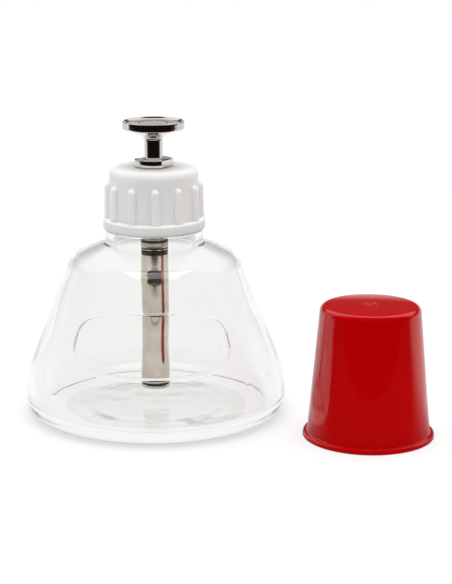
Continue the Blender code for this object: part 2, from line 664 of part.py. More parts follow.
def return_spring(axis, steel):
    """The spring from its seat to the piston, one open helix."""
    count = SPRING_TURNS * SPRING_POINTS
    rise = SPRING_LENGTH - 2 * SPRING_WIRE_RADIUS
    points = []
    for step in range(count + 1):
        turn = math.tau * step / SPRING_POINTS
        height = SPRING_BOTTOM + SPRING_WIRE_RADIUS + rise * step / count
        points.append((SPRING_RADIUS * math.cos(turn), SPRING_RADIUS * math.sin(turn), height))
    gap = least_gap(points, SPRING_POINTS // 2, SPRING_WIRE_RADIUS)
    print(f"return_spring: least gap between turns {gap * 1000:.2f} mm")
    curve = tube_curve("return_spring", points, SPRING_WIRE_RADIUS, False)
    add_mesh("return_spring", curve, axis, steel)


def piston(axis, brass, rubber):
    """The piston head with its valve chamber and stem socket, and the cup seal in its groove."""
    chamber = DELIVERY_BALL_RADIUS + DELIVERY_BALL_CLEARANCE
    profile = [
        (DELIVERY_INLET_RADIUS, PISTON_BOTTOM),
        (PISTON_RADIUS, PISTON_BOTTOM),
        (PISTON_RADIUS, GROOVE_BOTTOM),
        (GROOVE_RADIUS, GROOVE_BOTTOM),
        (GROOVE_RADIUS, GROOVE_TOP),
        (PISTON_RADIUS, GROOVE_TOP),
        (PISTON_RADIUS, PISTON_TOP),
        (SOCKET_RADIUS, PISTON_TOP),
        (SOCKET_RADIUS, PISTON_SOCKET_FLOOR),
        (chamber, PISTON_SOCKET_FLOOR),
        (chamber, DELIVERY_SEAT),
        (DELIVERY_INLET_RADIUS, DELIVERY_SEAT),
    ]
    turned("piston_head", profile, PUMP_SIDES, axis, brass)
    bottom = GROOVE_BOTTOM + SEAT_GAP
    top = bottom + PISTON_SEAL_HEIGHT
    bore = GROOVE_RADIUS + RUNNING_GAP
    ring("piston_seal", bore, BARREL_BORE - RUNNING_GAP, bottom, top, PUMP_SIDES, axis, rubber)


def stem(axis, plating, steel):
    """The hollow rod, stepped down at both ends for piston and dish, with its stop ring in a groove."""
    low = PISTON_SOCKET_FLOOR + SEAT_GAP
    high = DISH_SOCKET_TOP - SEAT_GAP
    groove = STEM_RADIUS - STOP_GROOVE_DEPTH
    profile = [
        (STEM_BORE, low),
        (STEM_END_RADIUS, low),
        (STEM_END_RADIUS, PISTON_TOP + SEAT_GAP),
        (STEM_RADIUS, PISTON_TOP + SEAT_GAP),
        (STEM_RADIUS, STOP_RING_BOTTOM - SEAT_GAP),
        (groove, STOP_RING_BOTTOM - SEAT_GAP),
        (groove, STOP_RING_TOP + SEAT_GAP),
        (STEM_RADIUS, STOP_RING_TOP + SEAT_GAP),
        (STEM_RADIUS, HUB_BOTTOM - SEAT_GAP),
        (STEM_END_RADIUS, HUB_BOTTOM - SEAT_GAP),
        (STEM_END_RADIUS, high),
        (STEM_BORE, high),
    ]
    turned("stem", profile, PUMP_SIDES, axis, plating)
    inner = groove + SEAT_GAP
    outer = BARREL_BORE - SEAT_GAP
    ring("stop_ring", inner, outer, STOP_RING_BOTTOM, STOP_RING_TOP, PUMP_SIDES, axis, steel)


def press_dish(axis, plating):
    """The turned dish with its flared hub, its stem socket and the seat of the outlet plate."""
    quarter = math.pi / 2
    hub = STEM_RADIUS + HUB_STAND
    seat = PLATE_RADIUS + SEAT_GAP
    flare = (hub + HUB_FLARE, HUB_BOTTOM)
    under = (DISH_RADIUS - DISH_UNDER_ROUND, DISH_TOP - DISH_RIM_HEIGHT)
    rim = (DISH_RADIUS - DISH_RIM_ROUND, DISH_TOP - DISH_RIM_ROUND)
    bowl = []
    for step in (3, 2, 1):
        share = step / 4
        bowl.append((seat + (rim[0] - seat) * share, DISH_FLOOR + DISH_DEPTH * share**2))
    profile = (
        [(SOCKET_RADIUS, HUB_BOTTOM), (hub, HUB_BOTTOM)]
        + arc(flare, HUB_FLARE, math.pi, quarter, 3)[1:]
        + arc(under, DISH_UNDER_ROUND, -quarter, 0, 2)
        + arc(rim, DISH_RIM_ROUND, 0, quarter, 2)
        + bowl
        + [(seat, DISH_FLOOR), (seat, LEDGE_TOP)]
        + [(seat - PLATE_LEDGE, LEDGE_TOP), (seat - PLATE_LEDGE, PLENUM_FLOOR)]
        + [(STEM_BORE, PLENUM_FLOOR), (STEM_BORE, DISH_SOCKET_TOP), (SOCKET_RADIUS, DISH_SOCKET_TOP)]
    )
    turned("press_dish", profile, DISH_SIDES, axis, plating)


def outlet_plate(axis, plating):
    """The flat disc in the dish with a ring of outlet holes round a middle one."""
    profile = [(0, PLATE_BOTTOM), (PLATE_RADIUS, PLATE_BOTTOM), (PLATE_RADIUS, DISH_FLOOR), (0, DISH_FLOOR)]
    plate = turned("outlet_plate", profile, DISH_SIDES, axis, plating)
    places = [Vector((0, 0, 0))]
    for step in range(PLATE_HOLE_COUNT):
        turn = math.tau * step / PLATE_HOLE_COUNT
        places.append(Vector((math.cos(turn), math.sin(turn), 0)) * PLATE_HOLE_CIRCLE)
    shape = bmesh.new()
    for place in places:
        place.z = (PLATE_BOTTOM + DISH_FLOOR) / 2
        bmesh.ops.create_cone(
            shape,
            cap_ends=True,
            segments=HOLE_SIDES,
            radius1=PLATE_HOLE_RADIUS,
            radius2=PLATE_HOLE_RADIUS,
            depth=CUTTER_REACH * PLATE_THICKNESS,
            matrix=Matrix.Translation(place),
        )
    combine(plate, add_piece("plate_holes", shape, axis, None), "DIFFERENCE")


def dust_cover(axis):
    """The tapered cover with its outward rim and slightly domed crown."""
    red = finish("red_plastic", (0.42, 0.003, 0.004), 0.18)
    quarter = math.pi / 2
    inner_top = COVER_TOP_RADIUS - COVER_WALL
    edge = (COVER_TOP_RADIUS - COVER_EDGE_ROUND, COVER_TOP - COVER_EDGE_ROUND)
    rim_top = (COVER_RIM_RADIUS - COVER_RIM_ROUND, COVER_RIM_HEIGHT - COVER_RIM_ROUND)
    profile = (
        dome(edge[0], COVER_TOP, COVER_CROWN, 2)
        + arc(edge, COVER_EDGE_ROUND, quarter, 0, 4)[1:]
        + [(COVER_RADIUS, COVER_RIM_HEIGHT)]
        + arc(rim_top, COVER_RIM_ROUND, quarter, 0, 2)
        + [(COVER_RIM_RADIUS, 0), (COVER_MOUTH, 0), (inner_top, COVER_ROOF), (0, COVER_ROOF)]
    )
    turned("dust_cover", profile, COVER_SIDES, axis, red)


def main():
    """Build bottle, cap, pump and cover."""
    clear_scene()
    plating = finish("nickel_plate", (0.66, 0.63, 0.59), 0.12, metallic=1.0)
    brass = finish("brass", (0.7, 0.55, 0.28), 0.3, metallic=1.0)
    steel = finish("steel", (0.6, 0.6, 0.62), 0.25, metallic=1.0)
    rubber = finish("black_rubber", (0.03, 0.03, 0.03), 0.6)
    nylon = finish("nylon", (0.85, 0.83, 0.76), 0.5)

    bottle_axis = axis_empty("bottle_axis", BOTTLE_PLACE, 0)
    cap_axis = axis_empty("cap_axis", (0, 0), CAP_BOTTOM, bottle_axis)
    plunger_axis = axis_empty("plunger_axis", (0, 0), HUB_BOTTOM, bottle_axis)
    inlet_ball_axis = axis_empty("inlet_ball_axis", (0, 0), INLET_BALL_CENTRE, bottle_axis)
    delivery_ball_axis = axis_empty("delivery_ball_axis", (0, 0), DELIVERY_BALL_CENTRE, bottle_axis)
    cover_axis = axis_empty("cover_axis", COVER_PLACE, 0)

    glass_bottle(bottle_axis)
    cap_liner(cap_axis)
    screw_cap(cap_axis)
    collar_nut(cap_axis, plating)
    pump_barrel(cap_axis, plating)
    gland(cap_axis, rubber, nylon)
    foot_valve(cap_axis, plating, rubber)
    ball("inlet_ball", INLET_BALL_RADIUS, INLET_BALL_CENTRE, inlet_ball_axis, steel)
    spring_seat(cap_axis, steel)
    return_spring(cap_axis, steel)
    piston(plunger_axis, brass, rubber)
    ball("delivery_ball", DELIVERY_BALL_RADIUS, DELIVERY_BALL_CENTRE, delivery_ball_axis, steel)
    stem(plunger_axis, plating, steel)
    press_dish(plunger_axis, plating)
    outlet_plate(plunger_axis, plating)
    dust_cover(cover_axis)


main()
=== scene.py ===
"""Looks of the plunger dispenser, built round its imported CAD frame.

Bottle, cap, pump and dust cover are turned or moulded, so most meshes start as the corners of a half
section. A bevel rounds the corners, a spin turns the section round its axis, and ribs, threads and the
raised line of the glass are then pushed out of the dense surface.
"""

import logging
import math
from dataclasses import dataclass
from enum import Enum
from typing import Callable, Sequence

import bmesh
import bpy
from mathutils import Matrix, Vector, noise


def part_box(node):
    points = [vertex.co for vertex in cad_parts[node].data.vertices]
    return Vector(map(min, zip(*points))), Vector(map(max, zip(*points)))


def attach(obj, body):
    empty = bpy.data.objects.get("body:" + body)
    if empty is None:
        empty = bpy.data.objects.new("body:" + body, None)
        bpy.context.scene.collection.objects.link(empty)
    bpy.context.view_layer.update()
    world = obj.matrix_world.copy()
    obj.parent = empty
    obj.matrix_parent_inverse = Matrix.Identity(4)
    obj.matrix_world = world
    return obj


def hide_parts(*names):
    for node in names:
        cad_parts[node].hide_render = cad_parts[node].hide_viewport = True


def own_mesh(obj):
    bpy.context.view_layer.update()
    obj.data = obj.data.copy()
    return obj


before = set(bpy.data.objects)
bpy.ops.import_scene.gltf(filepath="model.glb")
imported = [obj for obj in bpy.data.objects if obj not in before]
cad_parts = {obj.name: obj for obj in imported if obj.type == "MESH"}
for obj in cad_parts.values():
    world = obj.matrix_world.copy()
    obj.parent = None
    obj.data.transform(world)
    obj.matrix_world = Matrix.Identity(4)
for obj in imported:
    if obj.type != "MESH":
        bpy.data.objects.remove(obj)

MM = 0.001
MERGE = 0.0002 * MM
IMAGE_WIDTH = 452
IMAGE_HEIGHT = 584
SENSOR = 36.0
QUARTER = math.pi / 2
WHITE = (1.0, 1.0, 1.0)

log = logging.getLogger("dispenser")

Colour = tuple[float, float, float]
Span = tuple[float, float]
Rows = Sequence[tuple[float, ...]]
Push = Callable[[float, float, float], float]
Node = bpy.types.Node
Socket = bpy.types.NodeSocket
Tree = bpy.types.NodeTree
Material = bpy.types.Material
Shape = bmesh.types.BMesh


class Body(Enum):
    """Bodies of the frame that new pieces ride on."""

    BOTTLE = "bottle"
    CAP = "cap"
    PLUNGER = "plunger"
    COVER = "cover"


class Slot(Enum):
    """Material slots of the record that new pieces use."""

    GLASS = "clear_glass"
    WHITE = "white_plastic"
    NICKEL = "nickel_plate"
    STEEL = "steel"
    RED = "red_plastic"


class Kind(Enum):
    """Kinds of socket that a node group has."""

    PLACE = "NodeSocketVector"
    COLOUR = "NodeSocketColor"
    NUMBER = "NodeSocketFloat"


class Board:
    """One node tree, with short ways to add and link nodes."""

    def __init__(self, tree: Tree) -> None:
        """Empty the tree that is to be filled."""
        self.tree = tree
        tree.nodes.clear()

    def add(self, kind: str, **values: object) -> Node:
        """Add a node and set its inputs or its properties.

        Args:
            kind: the node's type name.
            values: property names, or input names with spaces written as underscores.

        Returns:
            The new node.
        """
        node = self.tree.nodes.new(kind)
        for key, value in values.items():
            if hasattr(node, key):
                setattr(node, key, value)
            else:
                node.inputs[key.replace("_", " ")].default_value = value
        return node

    def link(self, source: Socket, target: Socket) -> None:
        """Link one socket to another."""
        self.tree.links.new(source, target)

    def feed(self, socket: Socket, value: object) -> None:
        """Link an input, or set it.

        Args:
            socket: the input.
            value: a socket, a number or a colour.
        """
        if isinstance(value, Socket):
            self.link(value, socket)
        else:
            socket.default_value = (*value, 1.0) if isinstance(value, tuple) else value

    def math(self, operation: str, first: object, second: object = 0.0) -> Socket:
        """Add a Math node.

        Args:
            operation: what it works out.
            first: a socket or a number.
            second: a socket or a number.

        Returns:
            The result socket.
        """
        node = self.add("ShaderNodeMath", operation=operation)
        self.feed(node.inputs[0], first)
        self.feed(node.inputs[1], second)
        return node.outputs[0]

    def ramp(self, value: Socket, low: float, high: float, start: float, end: float) -> Socket:
        """Map a value smoothly from one range to another.

        Args:
            value: the socket to map.
            low: input at which the result is start.
            high: input at which the result is end.
            start: lowest result.
            end: highest result.

        Returns:
            The mapped socket.
        """
        node = self.add("ShaderNodeMapRange", interpolation_type="SMOOTHSTEP")
        for name, number in (("From Min", low), ("From Max", high), ("To Min", start), ("To Max", end)):
            node.inputs[name].default_value = number
        self.link(value, node.inputs["Value"])
        return node.outputs["Result"]

    def mask(self, value: Socket, band: Span) -> Socket:
        """Rise smoothly from 0 to 1 across a band of a value."""
        return self.ramp(value, *band, 0.0, 1.0)

    def at_least(self, value: Socket, count: int) -> Socket:
        """Give 1 where a counted value reaches a count, and 0 below it."""
        return self.math("GREATER_THAN", value, count - 0.5)

    def split(self, place: Socket) -> Sequence[Socket]:
        """Split a place into its three numbers.

        Args:
            place: the socket to split.

        Returns:
            The sockets of X, Y and Z.
        """
        node = self.add("ShaderNodeSeparateXYZ")
        self.link(place, node.inputs[0])
        return node.outputs

    def mix(self, factor: object, first: object, second: object) -> Socket:
        """Mix two colours.

        Args:
            factor: a socket or a number.
            first: colour or socket at 0.
            second: colour or socket at 1.

        Returns:
            The mixed colour's socket.
        """
        node = self.add("ShaderNodeMix", data_type="RGBA")
        for index, value in ((0, factor), (6, first), (7, second)):
            self.feed(node.inputs[index], value)
        return node.outputs[2]

    def group(self, tree: Tree, place: Socket, **values: object) -> Node:
        """Add a shared group that reads the place on the piece.

        Args:
            tree: the group.
            place: socket that gives the place.
            values: input names, with spaces written as underscores.

        Returns:
            The new node.
        """
        node = self.add("ShaderNodeGroup", node_tree=tree, **values)
        self.link(place, node.inputs["Vector"])
        return node

    def blend(self, factor: Socket, first: Node, second: Node) -> Socket:
        """Mix two shaders.

        Args:
            factor: share of the second.
            first: shader at 0.
            second: shader at 1.

        Returns:
            The mixed shader's socket.
        """
        both = self.add("ShaderNodeMixShader")
        for socket, source in zip(both.inputs, (factor, first.outputs[0], second.outputs[0])):
            self.link(source, socket)
        return both.outputs[0]

    def show(self, surface: Socket) -> None:
        """Link a shader to a new material output."""
        self.link(surface, self.add("ShaderNodeOutputMaterial").inputs["Surface"])


class SharedEffects:
    """Shader node groups that several finishes use."""

    tint_band: Span = (0.32, 0.68)
    patch_band: Span = (0.35, 0.7)
    patch_share: float = 2.3
    scratch_band: Span = (0.62, 0.7)
    scratch_scale: float = 900.0

    def __init__(self) -> None:
        """Build every group once."""
        self.cloud = self.make_cloud()
        self.grain = self.make_grain()
        self.turning = self.make_turning()

    @staticmethod
    def start(
        name: str, inputs: dict[str, object], outputs: dict[str, Kind]
    ) -> tuple[Tree, Board, Node, Node]:
        """Make an empty group with named sockets. Its first input is the place on the piece.

        Args:
            name: the group's name.
            inputs: name and default value of each further input, a number or a colour.
            outputs: name and kind of each output.

        Returns:
            The group, its board, its input node and its output node.
        """
        tree = bpy.data.node_groups.new(name, "ShaderNodeTree")
        tree.interface.new_socket("Vector", in_out="INPUT", socket_type=Kind.PLACE.value)
        for label, value in inputs.items():
            kind = Kind.COLOUR if isinstance(value, tuple) else Kind.NUMBER
            tree.interface.new_socket(label, in_out="INPUT", socket_type=kind.value).default_value = value
        for label, kind in outputs.items():
            tree.interface.new_socket(label, in_out="OUTPUT", socket_type=kind.value)
        board = Board(tree)
        return tree, board, board.add("NodeGroupInput"), board.add("NodeGroupOutput")

    def make_cloud(self) -> Tree:
        """Slow changes of colour and gloss, as in moulded or handled surfaces.

        Returns:
            The node group.
        """
        tree, board, given, out = self.start(
            "cloud_variation",
            {
                "Scale": 60.0,
                "Light": (0.8, 0.8, 0.8, 1.0),
                "Deep": (0.7, 0.7, 0.7, 1.0),
                "Gloss Low": 0.1,
                "Gloss High": 0.2,
            },
            {"Colour": Kind.COLOUR, "Roughness": Kind.NUMBER},
        )
        broad = board.add("ShaderNodeTexNoise", Detail=3.0, Roughness=0.5)
        smear = board.add("ShaderNodeTexNoise", Detail=5.0, Roughness=0.62, Distortion=0.8)
        for texture, share in ((broad, 1.0), (smear, self.patch_share)):
            board.link(given.outputs["Vector"], texture.inputs["Vector"])
            board.link(board.math("MULTIPLY", given.outputs["Scale"], share), texture.inputs["Scale"])
        tint = board.mask(broad.outputs["Fac"], self.tint_band)
        board.link(board.mix(tint, given.outputs["Light"], given.outputs["Deep"]), out.inputs["Colour"])
        patch = board.mask(smear.outputs["Fac"], self.patch_band)
        spread = board.math("SUBTRACT", given.outputs["Gloss High"], given.outputs["Gloss Low"])
        gloss = board.math("ADD", given.outputs["Gloss Low"], board.math("MULTIPLY", patch, spread))
        board.link(gloss, out.inputs["Roughness"])
        return tree

    def make_grain(self) -> Tree:
        """Fine relief of a moulded skin with slow waves under it.

        Returns:
            The node group.
        """
        tree, board, given, out = self.start(
            "moulded_relief",
            {"Wave Scale": 40.0, "Grain Scale": 1500.0, "Grain Share": 0.3},
            {"Height": Kind.NUMBER},
        )
        wave = board.add("ShaderNodeTexNoise", Detail=1.0, Roughness=0.4)
        grain = board.add("ShaderNodeTexNoise", Detail=2.0, Roughness=0.6)
        for texture, label in ((wave, "Wave Scale"), (grain, "Grain Scale")):
            board.link(given.outputs["Vector"], texture.inputs["Vector"])
            board.link(given.outputs[label], texture.inputs["Scale"])
        fine = board.math("MULTIPLY", grain.outputs["Fac"], given.outputs["Grain Share"])
        board.link(board.math("ADD", wave.outputs["Fac"], fine), out.inputs["Height"])
        return tree

    def make_turning(self) -> Tree:
        """Fine rings that a lathe leaves round the upright axis, with a few stray scratches.

        Returns:
            The node group.
        """
        tree, board, given, out = self.start(
            "turning_marks",
            {"Rings": 2500.0, "Scratches": 0.3},
            {"Height": Kind.NUMBER, "Mask": Kind.NUMBER},
        )
        x, y, z = board.split(given.outputs["Vector"])
        squares = [board.math("POWER", board.math("ABSOLUTE", part), 2.0) for part in (x, y)]
        across = board.math("SQRT", board.math("ADD", *squares))
        along = board.math("ADD", across, z)
        ring = board.add("ShaderNodeCombineXYZ")
        board.link(along, ring.inputs["X"])
        board.link(across, ring.inputs["Y"])
        marks = board.add("ShaderNodeTexNoise", Detail=2.0, Roughness=0.7)
        board.link(ring.outputs[0], marks.inputs["Vector"])
        board.link(given.outputs["Rings"], marks.inputs["Scale"])
        stray = board.add("ShaderNodeTexNoise", Detail=4.0, Roughness=0.75, Distortion=1.5)
        stray.inputs["Scale"].default_value = self.scratch_scale
        board.link(given.outputs["Vector"], stray.inputs["Vector"])
        sparse = board.mask(stray.outputs["Fac"], self.scratch_band)
        scratch = board.math("MULTIPLY", sparse, given.outputs["Scratches"])
        board.link(board.math("SUBTRACT", marks.outputs["Fac"], scratch), out.inputs["Height"])
        board.link(scratch, out.inputs["Mask"])
        return tree


def begin(name: str) -> tuple[Material, Board, Socket]:
    """Start a material with an empty tree.

    Args:
        name: the material's name.

    Returns:
        The material, its board and the socket that gives the place on the piece.
    """
    made = bpy.data.materials.new(name)
    made.use_nodes = True
    board = Board(made.node_tree)
    return made, board, board.add("ShaderNodeTexCoord").outputs["Object"]


@dataclass(frozen=True)
class Finish:
    """Base of the finishes: a name, two shades and a range of roughness."""

    name: str
    light: Colour
    deep: Colour
    gloss: Span

    def clouded(self, board: Board, effects: SharedEffects, place: Socket, scale: float) -> Sequence[Socket]:
        """Add the clouds of the two shades.

        Args:
            board: the material's tree.
            effects: the shared node groups.
            place: socket that gives the place on the piece.
            scale: how fine the clouds are.

        Returns:
            The sockets of colour and roughness.
        """
        shades = {"Light": (*self.light, 1.0), "Deep": (*self.deep, 1.0)}
        low, high = self.gloss
        given = {"Scale": scale, "Gloss_Low": low, "Gloss_High": high}
        return board.group(effects.cloud, place, **given, **shades).outputs

    @staticmethod
    def surface(
        board: Board, shader: Node, colour: Socket, rough: Socket, height: Socket, depth: float
    ) -> None:
        """Feed a shader its colour, roughness and relief.

        Args:
            board: the material's tree.
            shader: the shader.
            colour: its colour.
            rough: its roughness.
            height: height of its relief.
            depth: how deep the relief is.
        """
        bump = board.add("ShaderNodeBump", Strength=1.0, Distance=depth)
        board.link(height, bump.inputs["Height"])
        board.link(bump.outputs["Normal"], shader.inputs["Normal"])
        board.link(colour, shader.inputs["Base Color"])
        board.link(rough, shader.inputs["Roughness"])


@dataclass(frozen=True)
class Moulded(Finish):
    """A moulded plastic, foam or rubber finish."""

    cloud_scale: float = 60.0
    wave_scale: float = 40.0
    grain_scale: float = 1500.0
    grain_share: float = 0.3
    relief: float = 0.02 * MM
    specular: float = 0.5
    subsurface: float = 0.0
    subsurface_depth: float = 2 * MM
    sheer: float = 0.0

    def material(self, effects: SharedEffects) -> Material:
        """Build the material.

        Args:
            effects: the shared node groups.

        Returns:
            The material.
        """
        made, board, place = begin(self.name)
        colour, rough = self.clouded(board, effects, place, self.cloud_scale)
        grain = board.group(effects.grain, place, Wave_Scale=self.wave_scale, Grain_Scale=self.grain_scale)
        grain.inputs["Grain Share"].default_value = self.grain_share
        shader = board.add(
            "ShaderNodeBsdfPrincipled",
            Specular_IOR_Level=self.specular,
            Subsurface_Weight=self.subsurface,
            Subsurface_Radius=(1.0, 1.0, 1.0),
            Subsurface_Scale=self.subsurface_depth,
        )
        self.surface(board, shader, colour, rough, grain.outputs["Height"], self.relief)
        board.show(self.thinned(board, shader) if self.sheer else shader.outputs[0])
        return made

    def thinned(self, board: Board, shader: Node) -> Socket:
        """Let some of the lamps' light through the wall, as thin white plastic does.

        Args:
            board: the material's tree.
            shader: the plastic's shader.

        Returns:
            The shader socket to show.
        """
        path = board.add("ShaderNodeLightPath")
        clear = board.add("ShaderNodeBsdfTransparent", Color=(self.sheer, self.sheer, self.sheer, 1.0))
        return board.blend(path.outputs["Is Shadow Ray"], shader, clear)


@dataclass(frozen=True)
class Turned(Finish):
    """A turned metal finish, bare or plated."""

    axis: Span
    cloud_scale: float = 130.0
    rings: float = 2500.0
    scratches: float = 0.3
    wear: float = 0.25
    relief: float = 0.004 * MM
    # Dark bands painted into the colour round the axis: painted reflections of the dark room.
    painted_reflection_bands: tuple[Span, ...] = ()
    painted_reflection_edge: float = 0.15 * MM
    painted_reflection_colour: Colour = (0.035, 0.022, 0.014)

    def material(self, effects: SharedEffects) -> Material:
        """Build the material.

        Args:
            effects: the shared node groups.

        Returns:
            The material.
        """
        made, board, place = begin(self.name)
        centre = board.add("ShaderNodeMapping", Location=(-self.axis[0], -self.axis[1], 0.0))
        board.link(place, centre.inputs["Vector"])
        colour, gloss = self.clouded(board, effects, centre.outputs[0], self.cloud_scale)
        turning = board.group(effects.turning, centre.outputs[0], Rings=self.rings, Scratches=self.scratches)
        rough = board.math("ADD", gloss, board.math("MULTIPLY", turning.outputs["Mask"], self.wear))
        shader = board.add("ShaderNodeBsdfPrincipled", Metallic=1.0)
        colour = self.paint_reflection_bands(board, centre.outputs[0], colour)
        self.surface(board, shader, colour, rough, turning.outputs["Height"], self.relief)
        board.show(shader.outputs[0])
        return made

    def paint_reflection_bands(self, board: Board, place: Socket, colour: Socket) -> Socket:
        """Darken the metal in bands round the axis: painted reflections of the dark room, put into the
        colour.

        Args:
            board: the material's tree.
            place: socket that gives the place.
            colour: the metal's colour.

        Returns:
            The colour with its painted reflection bands.
        """
        _, _, level = board.split(place)
        # Each band darkens the colour as a painted reflection of the dark room.
        for low, high in self.painted_reflection_bands:
            rise = board.mask(level, (low, low + self.painted_reflection_edge))
            fall = board.ramp(level, high - self.painted_reflection_edge, high, 1.0, 0.0)
            colour = board.mix(board.math("MULTIPLY", rise, fall), colour, self.painted_reflection_colour)
        return colour


@dataclass(frozen=True)
class Pressed(Finish):
    """Clear pressed glass that lets lamps through to the table."""

    gloss: Span = (0.0, 0.01)
    cloud_scale: float = 35.0
    wave_scale: float = 90.0
    ior: float = 1.5
    relief: float = 0.004 * MM
    shadow: Colour = (0.9, 0.905, 0.902)
    rim_shadow: Colour = (0.18, 0.19, 0.19)
    rim_blend: float = 0.35
    deepest: int = 5
    lost_tint: Colour = (0.81, 0.825, 0.795)
    body_tint: Colour = (0.66, 0.7, 0.58)
    body_density: float = 4.5

    def material(self, effects: SharedEffects) -> Material:
        """Build the material.

        Args:
            effects: the shared node groups.

        Returns:
            The material.
        """
        made, board, place = begin(self.name)
        colour, rough = self.clouded(board, effects, place, self.cloud_scale)
        grain = board.group(effects.grain, place, Wave_Scale=self.wave_scale, Grain_Share=0.0)
        shader = board.add("ShaderNodeBsdfPrincipled", IOR=self.ior, Transmission_Weight=1.0)
        self.surface(board, shader, colour, rough, grain.outputs["Height"], self.relief)
        path = board.add("ShaderNodeLightPath")
        facing = board.add("ShaderNodeLayerWeight", Blend=self.rim_blend)
        clear = board.add("ShaderNodeBsdfTransparent")
        light = board.math("MAXIMUM", path.outputs["Is Shadow Ray"], path.outputs["Is Diffuse Ray"])
        tint = board.mix(facing.outputs["Facing"], self.shadow, self.rim_shadow)
        board.link(board.mix(light, self.lost_tint, tint), clear.inputs["Color"])
        lost = board.at_least(path.outputs["Ray Depth"], self.deepest)
        tint = (*self.body_tint, 1.0)
        body = board.add("ShaderNodeVolumeAbsorption", Color=tint, Density=self.body_density)
        out = board.add("ShaderNodeOutputMaterial")
        board.link(board.blend(board.math("MAXIMUM", light, lost), shader, clear), out.inputs["Surface"])
        board.link(body.outputs[0], out.inputs["Volume"])
        return made


@dataclass(frozen=True)
class Corner:
    """One corner of a half section.

    Attributes:
        radius: distance from the axis.
        height: height above the table.
        blend: radius of the round that takes the corner's place, 0 for a sharp corner.
        cuts: number of pieces in the round.
        split: number of pieces in the straight run to the next corner. Both its ends are sharp corners.
    """

    radius: float
    height: float
    blend: float = 0.0
    cuts: int = 6
    split: int = 1


def corners(rows: Rows) -> list[Corner]:
    """Turn rows in millimetres into corners.

    Args:
        rows: radius, height, and optionally blend, number of cuts and split of the run that follows.

    Returns:
        The corners, in metres.
    """
    made = []
    for row in rows:
        lengths = [value * MM for value in row[:3]]
        made.append(Corner(*lengths, *(int(value) for value in row[3:])))
    return made


def whole(shape: Shape) -> list[bmesh.types.BMVert | bmesh.types.BMEdge | bmesh.types.BMFace]:
    """Give all points, edges and faces of a shape."""
    return shape.verts[:] + shape.edges[:] + shape.faces[:]


def close_seams(shape: Shape) -> None:
    """Merge the seams of a shape and turn its faces outwards."""
    bmesh.ops.remove_doubles(shape, verts=shape.verts[:], dist=MERGE)
    bmesh.ops.recalc_face_normals(shape, faces=shape.faces[:])


class Section:
    """A half section that is rounded at its corners and spun round the upright axis."""

    support = 0.2 * MM

    def __init__(self, outline: Sequence[Corner]) -> None:
        """Keep the corners in order. A section that starts on the axis stays open there."""
        self.outline = list(outline)
        self.outline = self.supported()

    def supported(self) -> list[Corner]:
        """Add a point beside each round, so that long straight runs keep their true shading.

        Returns:
            All corners in order.
        """
        full = []
        for index, corner in enumerate(self.outline):
            full.append(corner)
            following = (index + 1) % len(self.outline)
            after = self.outline[following]
            run = math.hypot(after.radius - corner.radius, after.height - corner.height)
            near = self.reach(index) + self.support
            far = run - self.reach(following) - self.support
            if corner.split > 1 or far - near < self.support or (after.radius == 0 and corner.radius == 0):
                continue
            for distance, blend in ((near, corner.blend), (far, after.blend)):
                if blend > 0:
                    share = distance / run
                    radius = corner.radius + share * (after.radius - corner.radius)
                    full.append(Corner(radius, corner.height + share * (after.height - corner.height)))
        return full

    def reach(self, index: int) -> float:
        """Work out how far a corner's round reaches along its edges.

        Args:
            index: which corner.

        Returns:
            The distance from the corner to where its round starts.
        """
        before, here, after = (self.outline[(index + step) % len(self.outline)] for step in (-1, 0, 1))
        if here.blend == 0:
            return 0.0
        back = Vector((before.radius - here.radius, before.height - here.height))
        ahead = Vector((after.radius - here.radius, after.height - here.height))
        return here.blend * math.tan((math.pi - back.angle(ahead)) / 2)

    def wire(self) -> Shape:
        """Draw the section as a wire and round its corners.

        Returns:
            The wire.
        """
        shape = bmesh.new()
        points = [shape.verts.new((c.radius, 0.0, c.height)) for c in self.outline]
        runs = [shape.edges.new(pair) for pair in zip(points, points[1:])]
        if self.outline[0].radius > 0:
            shape.edges.new((points[-1], points[0]))
        for index, corner in enumerate(self.outline):
            if corner.blend > 0:
                bmesh.ops.bevel(
                    shape,
                    geom=[points[index]],
                    offset=self.reach(index),
                    offset_type="OFFSET",
                    affect="VERTICES",
                    segments=corner.cuts,
                    profile=0.5,
                    material=-1,
                )
        for run, corner in zip(runs, self.outline):
            if corner.split > 1:
                bmesh.ops.subdivide_edges(shape, edges=[run], cuts=corner.split - 1)
        return shape

    def spun(self, steps: int, dense_arc: float = 0.0, dense_steps: int = 0) -> Shape:
        """Spin the section through half a turn from the front, and mirror the half.

        Args:
            steps: number of steps outside the dense arc.
            dense_arc: angle of an arc with denser steps, centred on the front.
            dense_steps: number of steps in the arc.

        Returns:
            The closed shape round the upright axis.
        """
        shape = self.wire()
        bmesh.ops.rotate(shape, verts=shape.verts[:], matrix=Matrix.Rotation(-QUARTER, 3, "Z"))
        last = shape.verts[:] + shape.edges[:]
        for angle, count in ((dense_arc / 2, dense_steps // 2), (math.pi - dense_arc / 2, steps // 2)):
            if count:
                last = bmesh.ops.spin(shape, geom=last, axis=(0, 0, 1), angle=angle, steps=count)["geom_last"]
        bmesh.ops.mirror(shape, geom=whole(shape), axis="X", merge_dist=MERGE)
        close_seams(shape)
        return shape


def push_out(shape: Shape, push: Push) -> None:
    """Move the points of a turned shape away from the axis.

    Args:
        shape: the shape, round the upright axis.
        push: gives the distance for a radius, a bearing and a height.
    """
    for point in shape.verts:
        radius = math.hypot(point.co.x, point.co.y)
        if radius > MM:
            distance = push(radius, math.atan2(point.co.y, point.co.x), point.co.z)
            point.co.x *= 1 + distance / radius
            point.co.y *= 1 + distance / radius


def swell(distance: float, reach: float) -> float:
    """Give a smooth hump: 1 in the middle, 0 from reach outwards."""
    return 0.5 + 0.5 * math.cos(math.pi * distance / reach) if abs(distance) < reach else 0.0


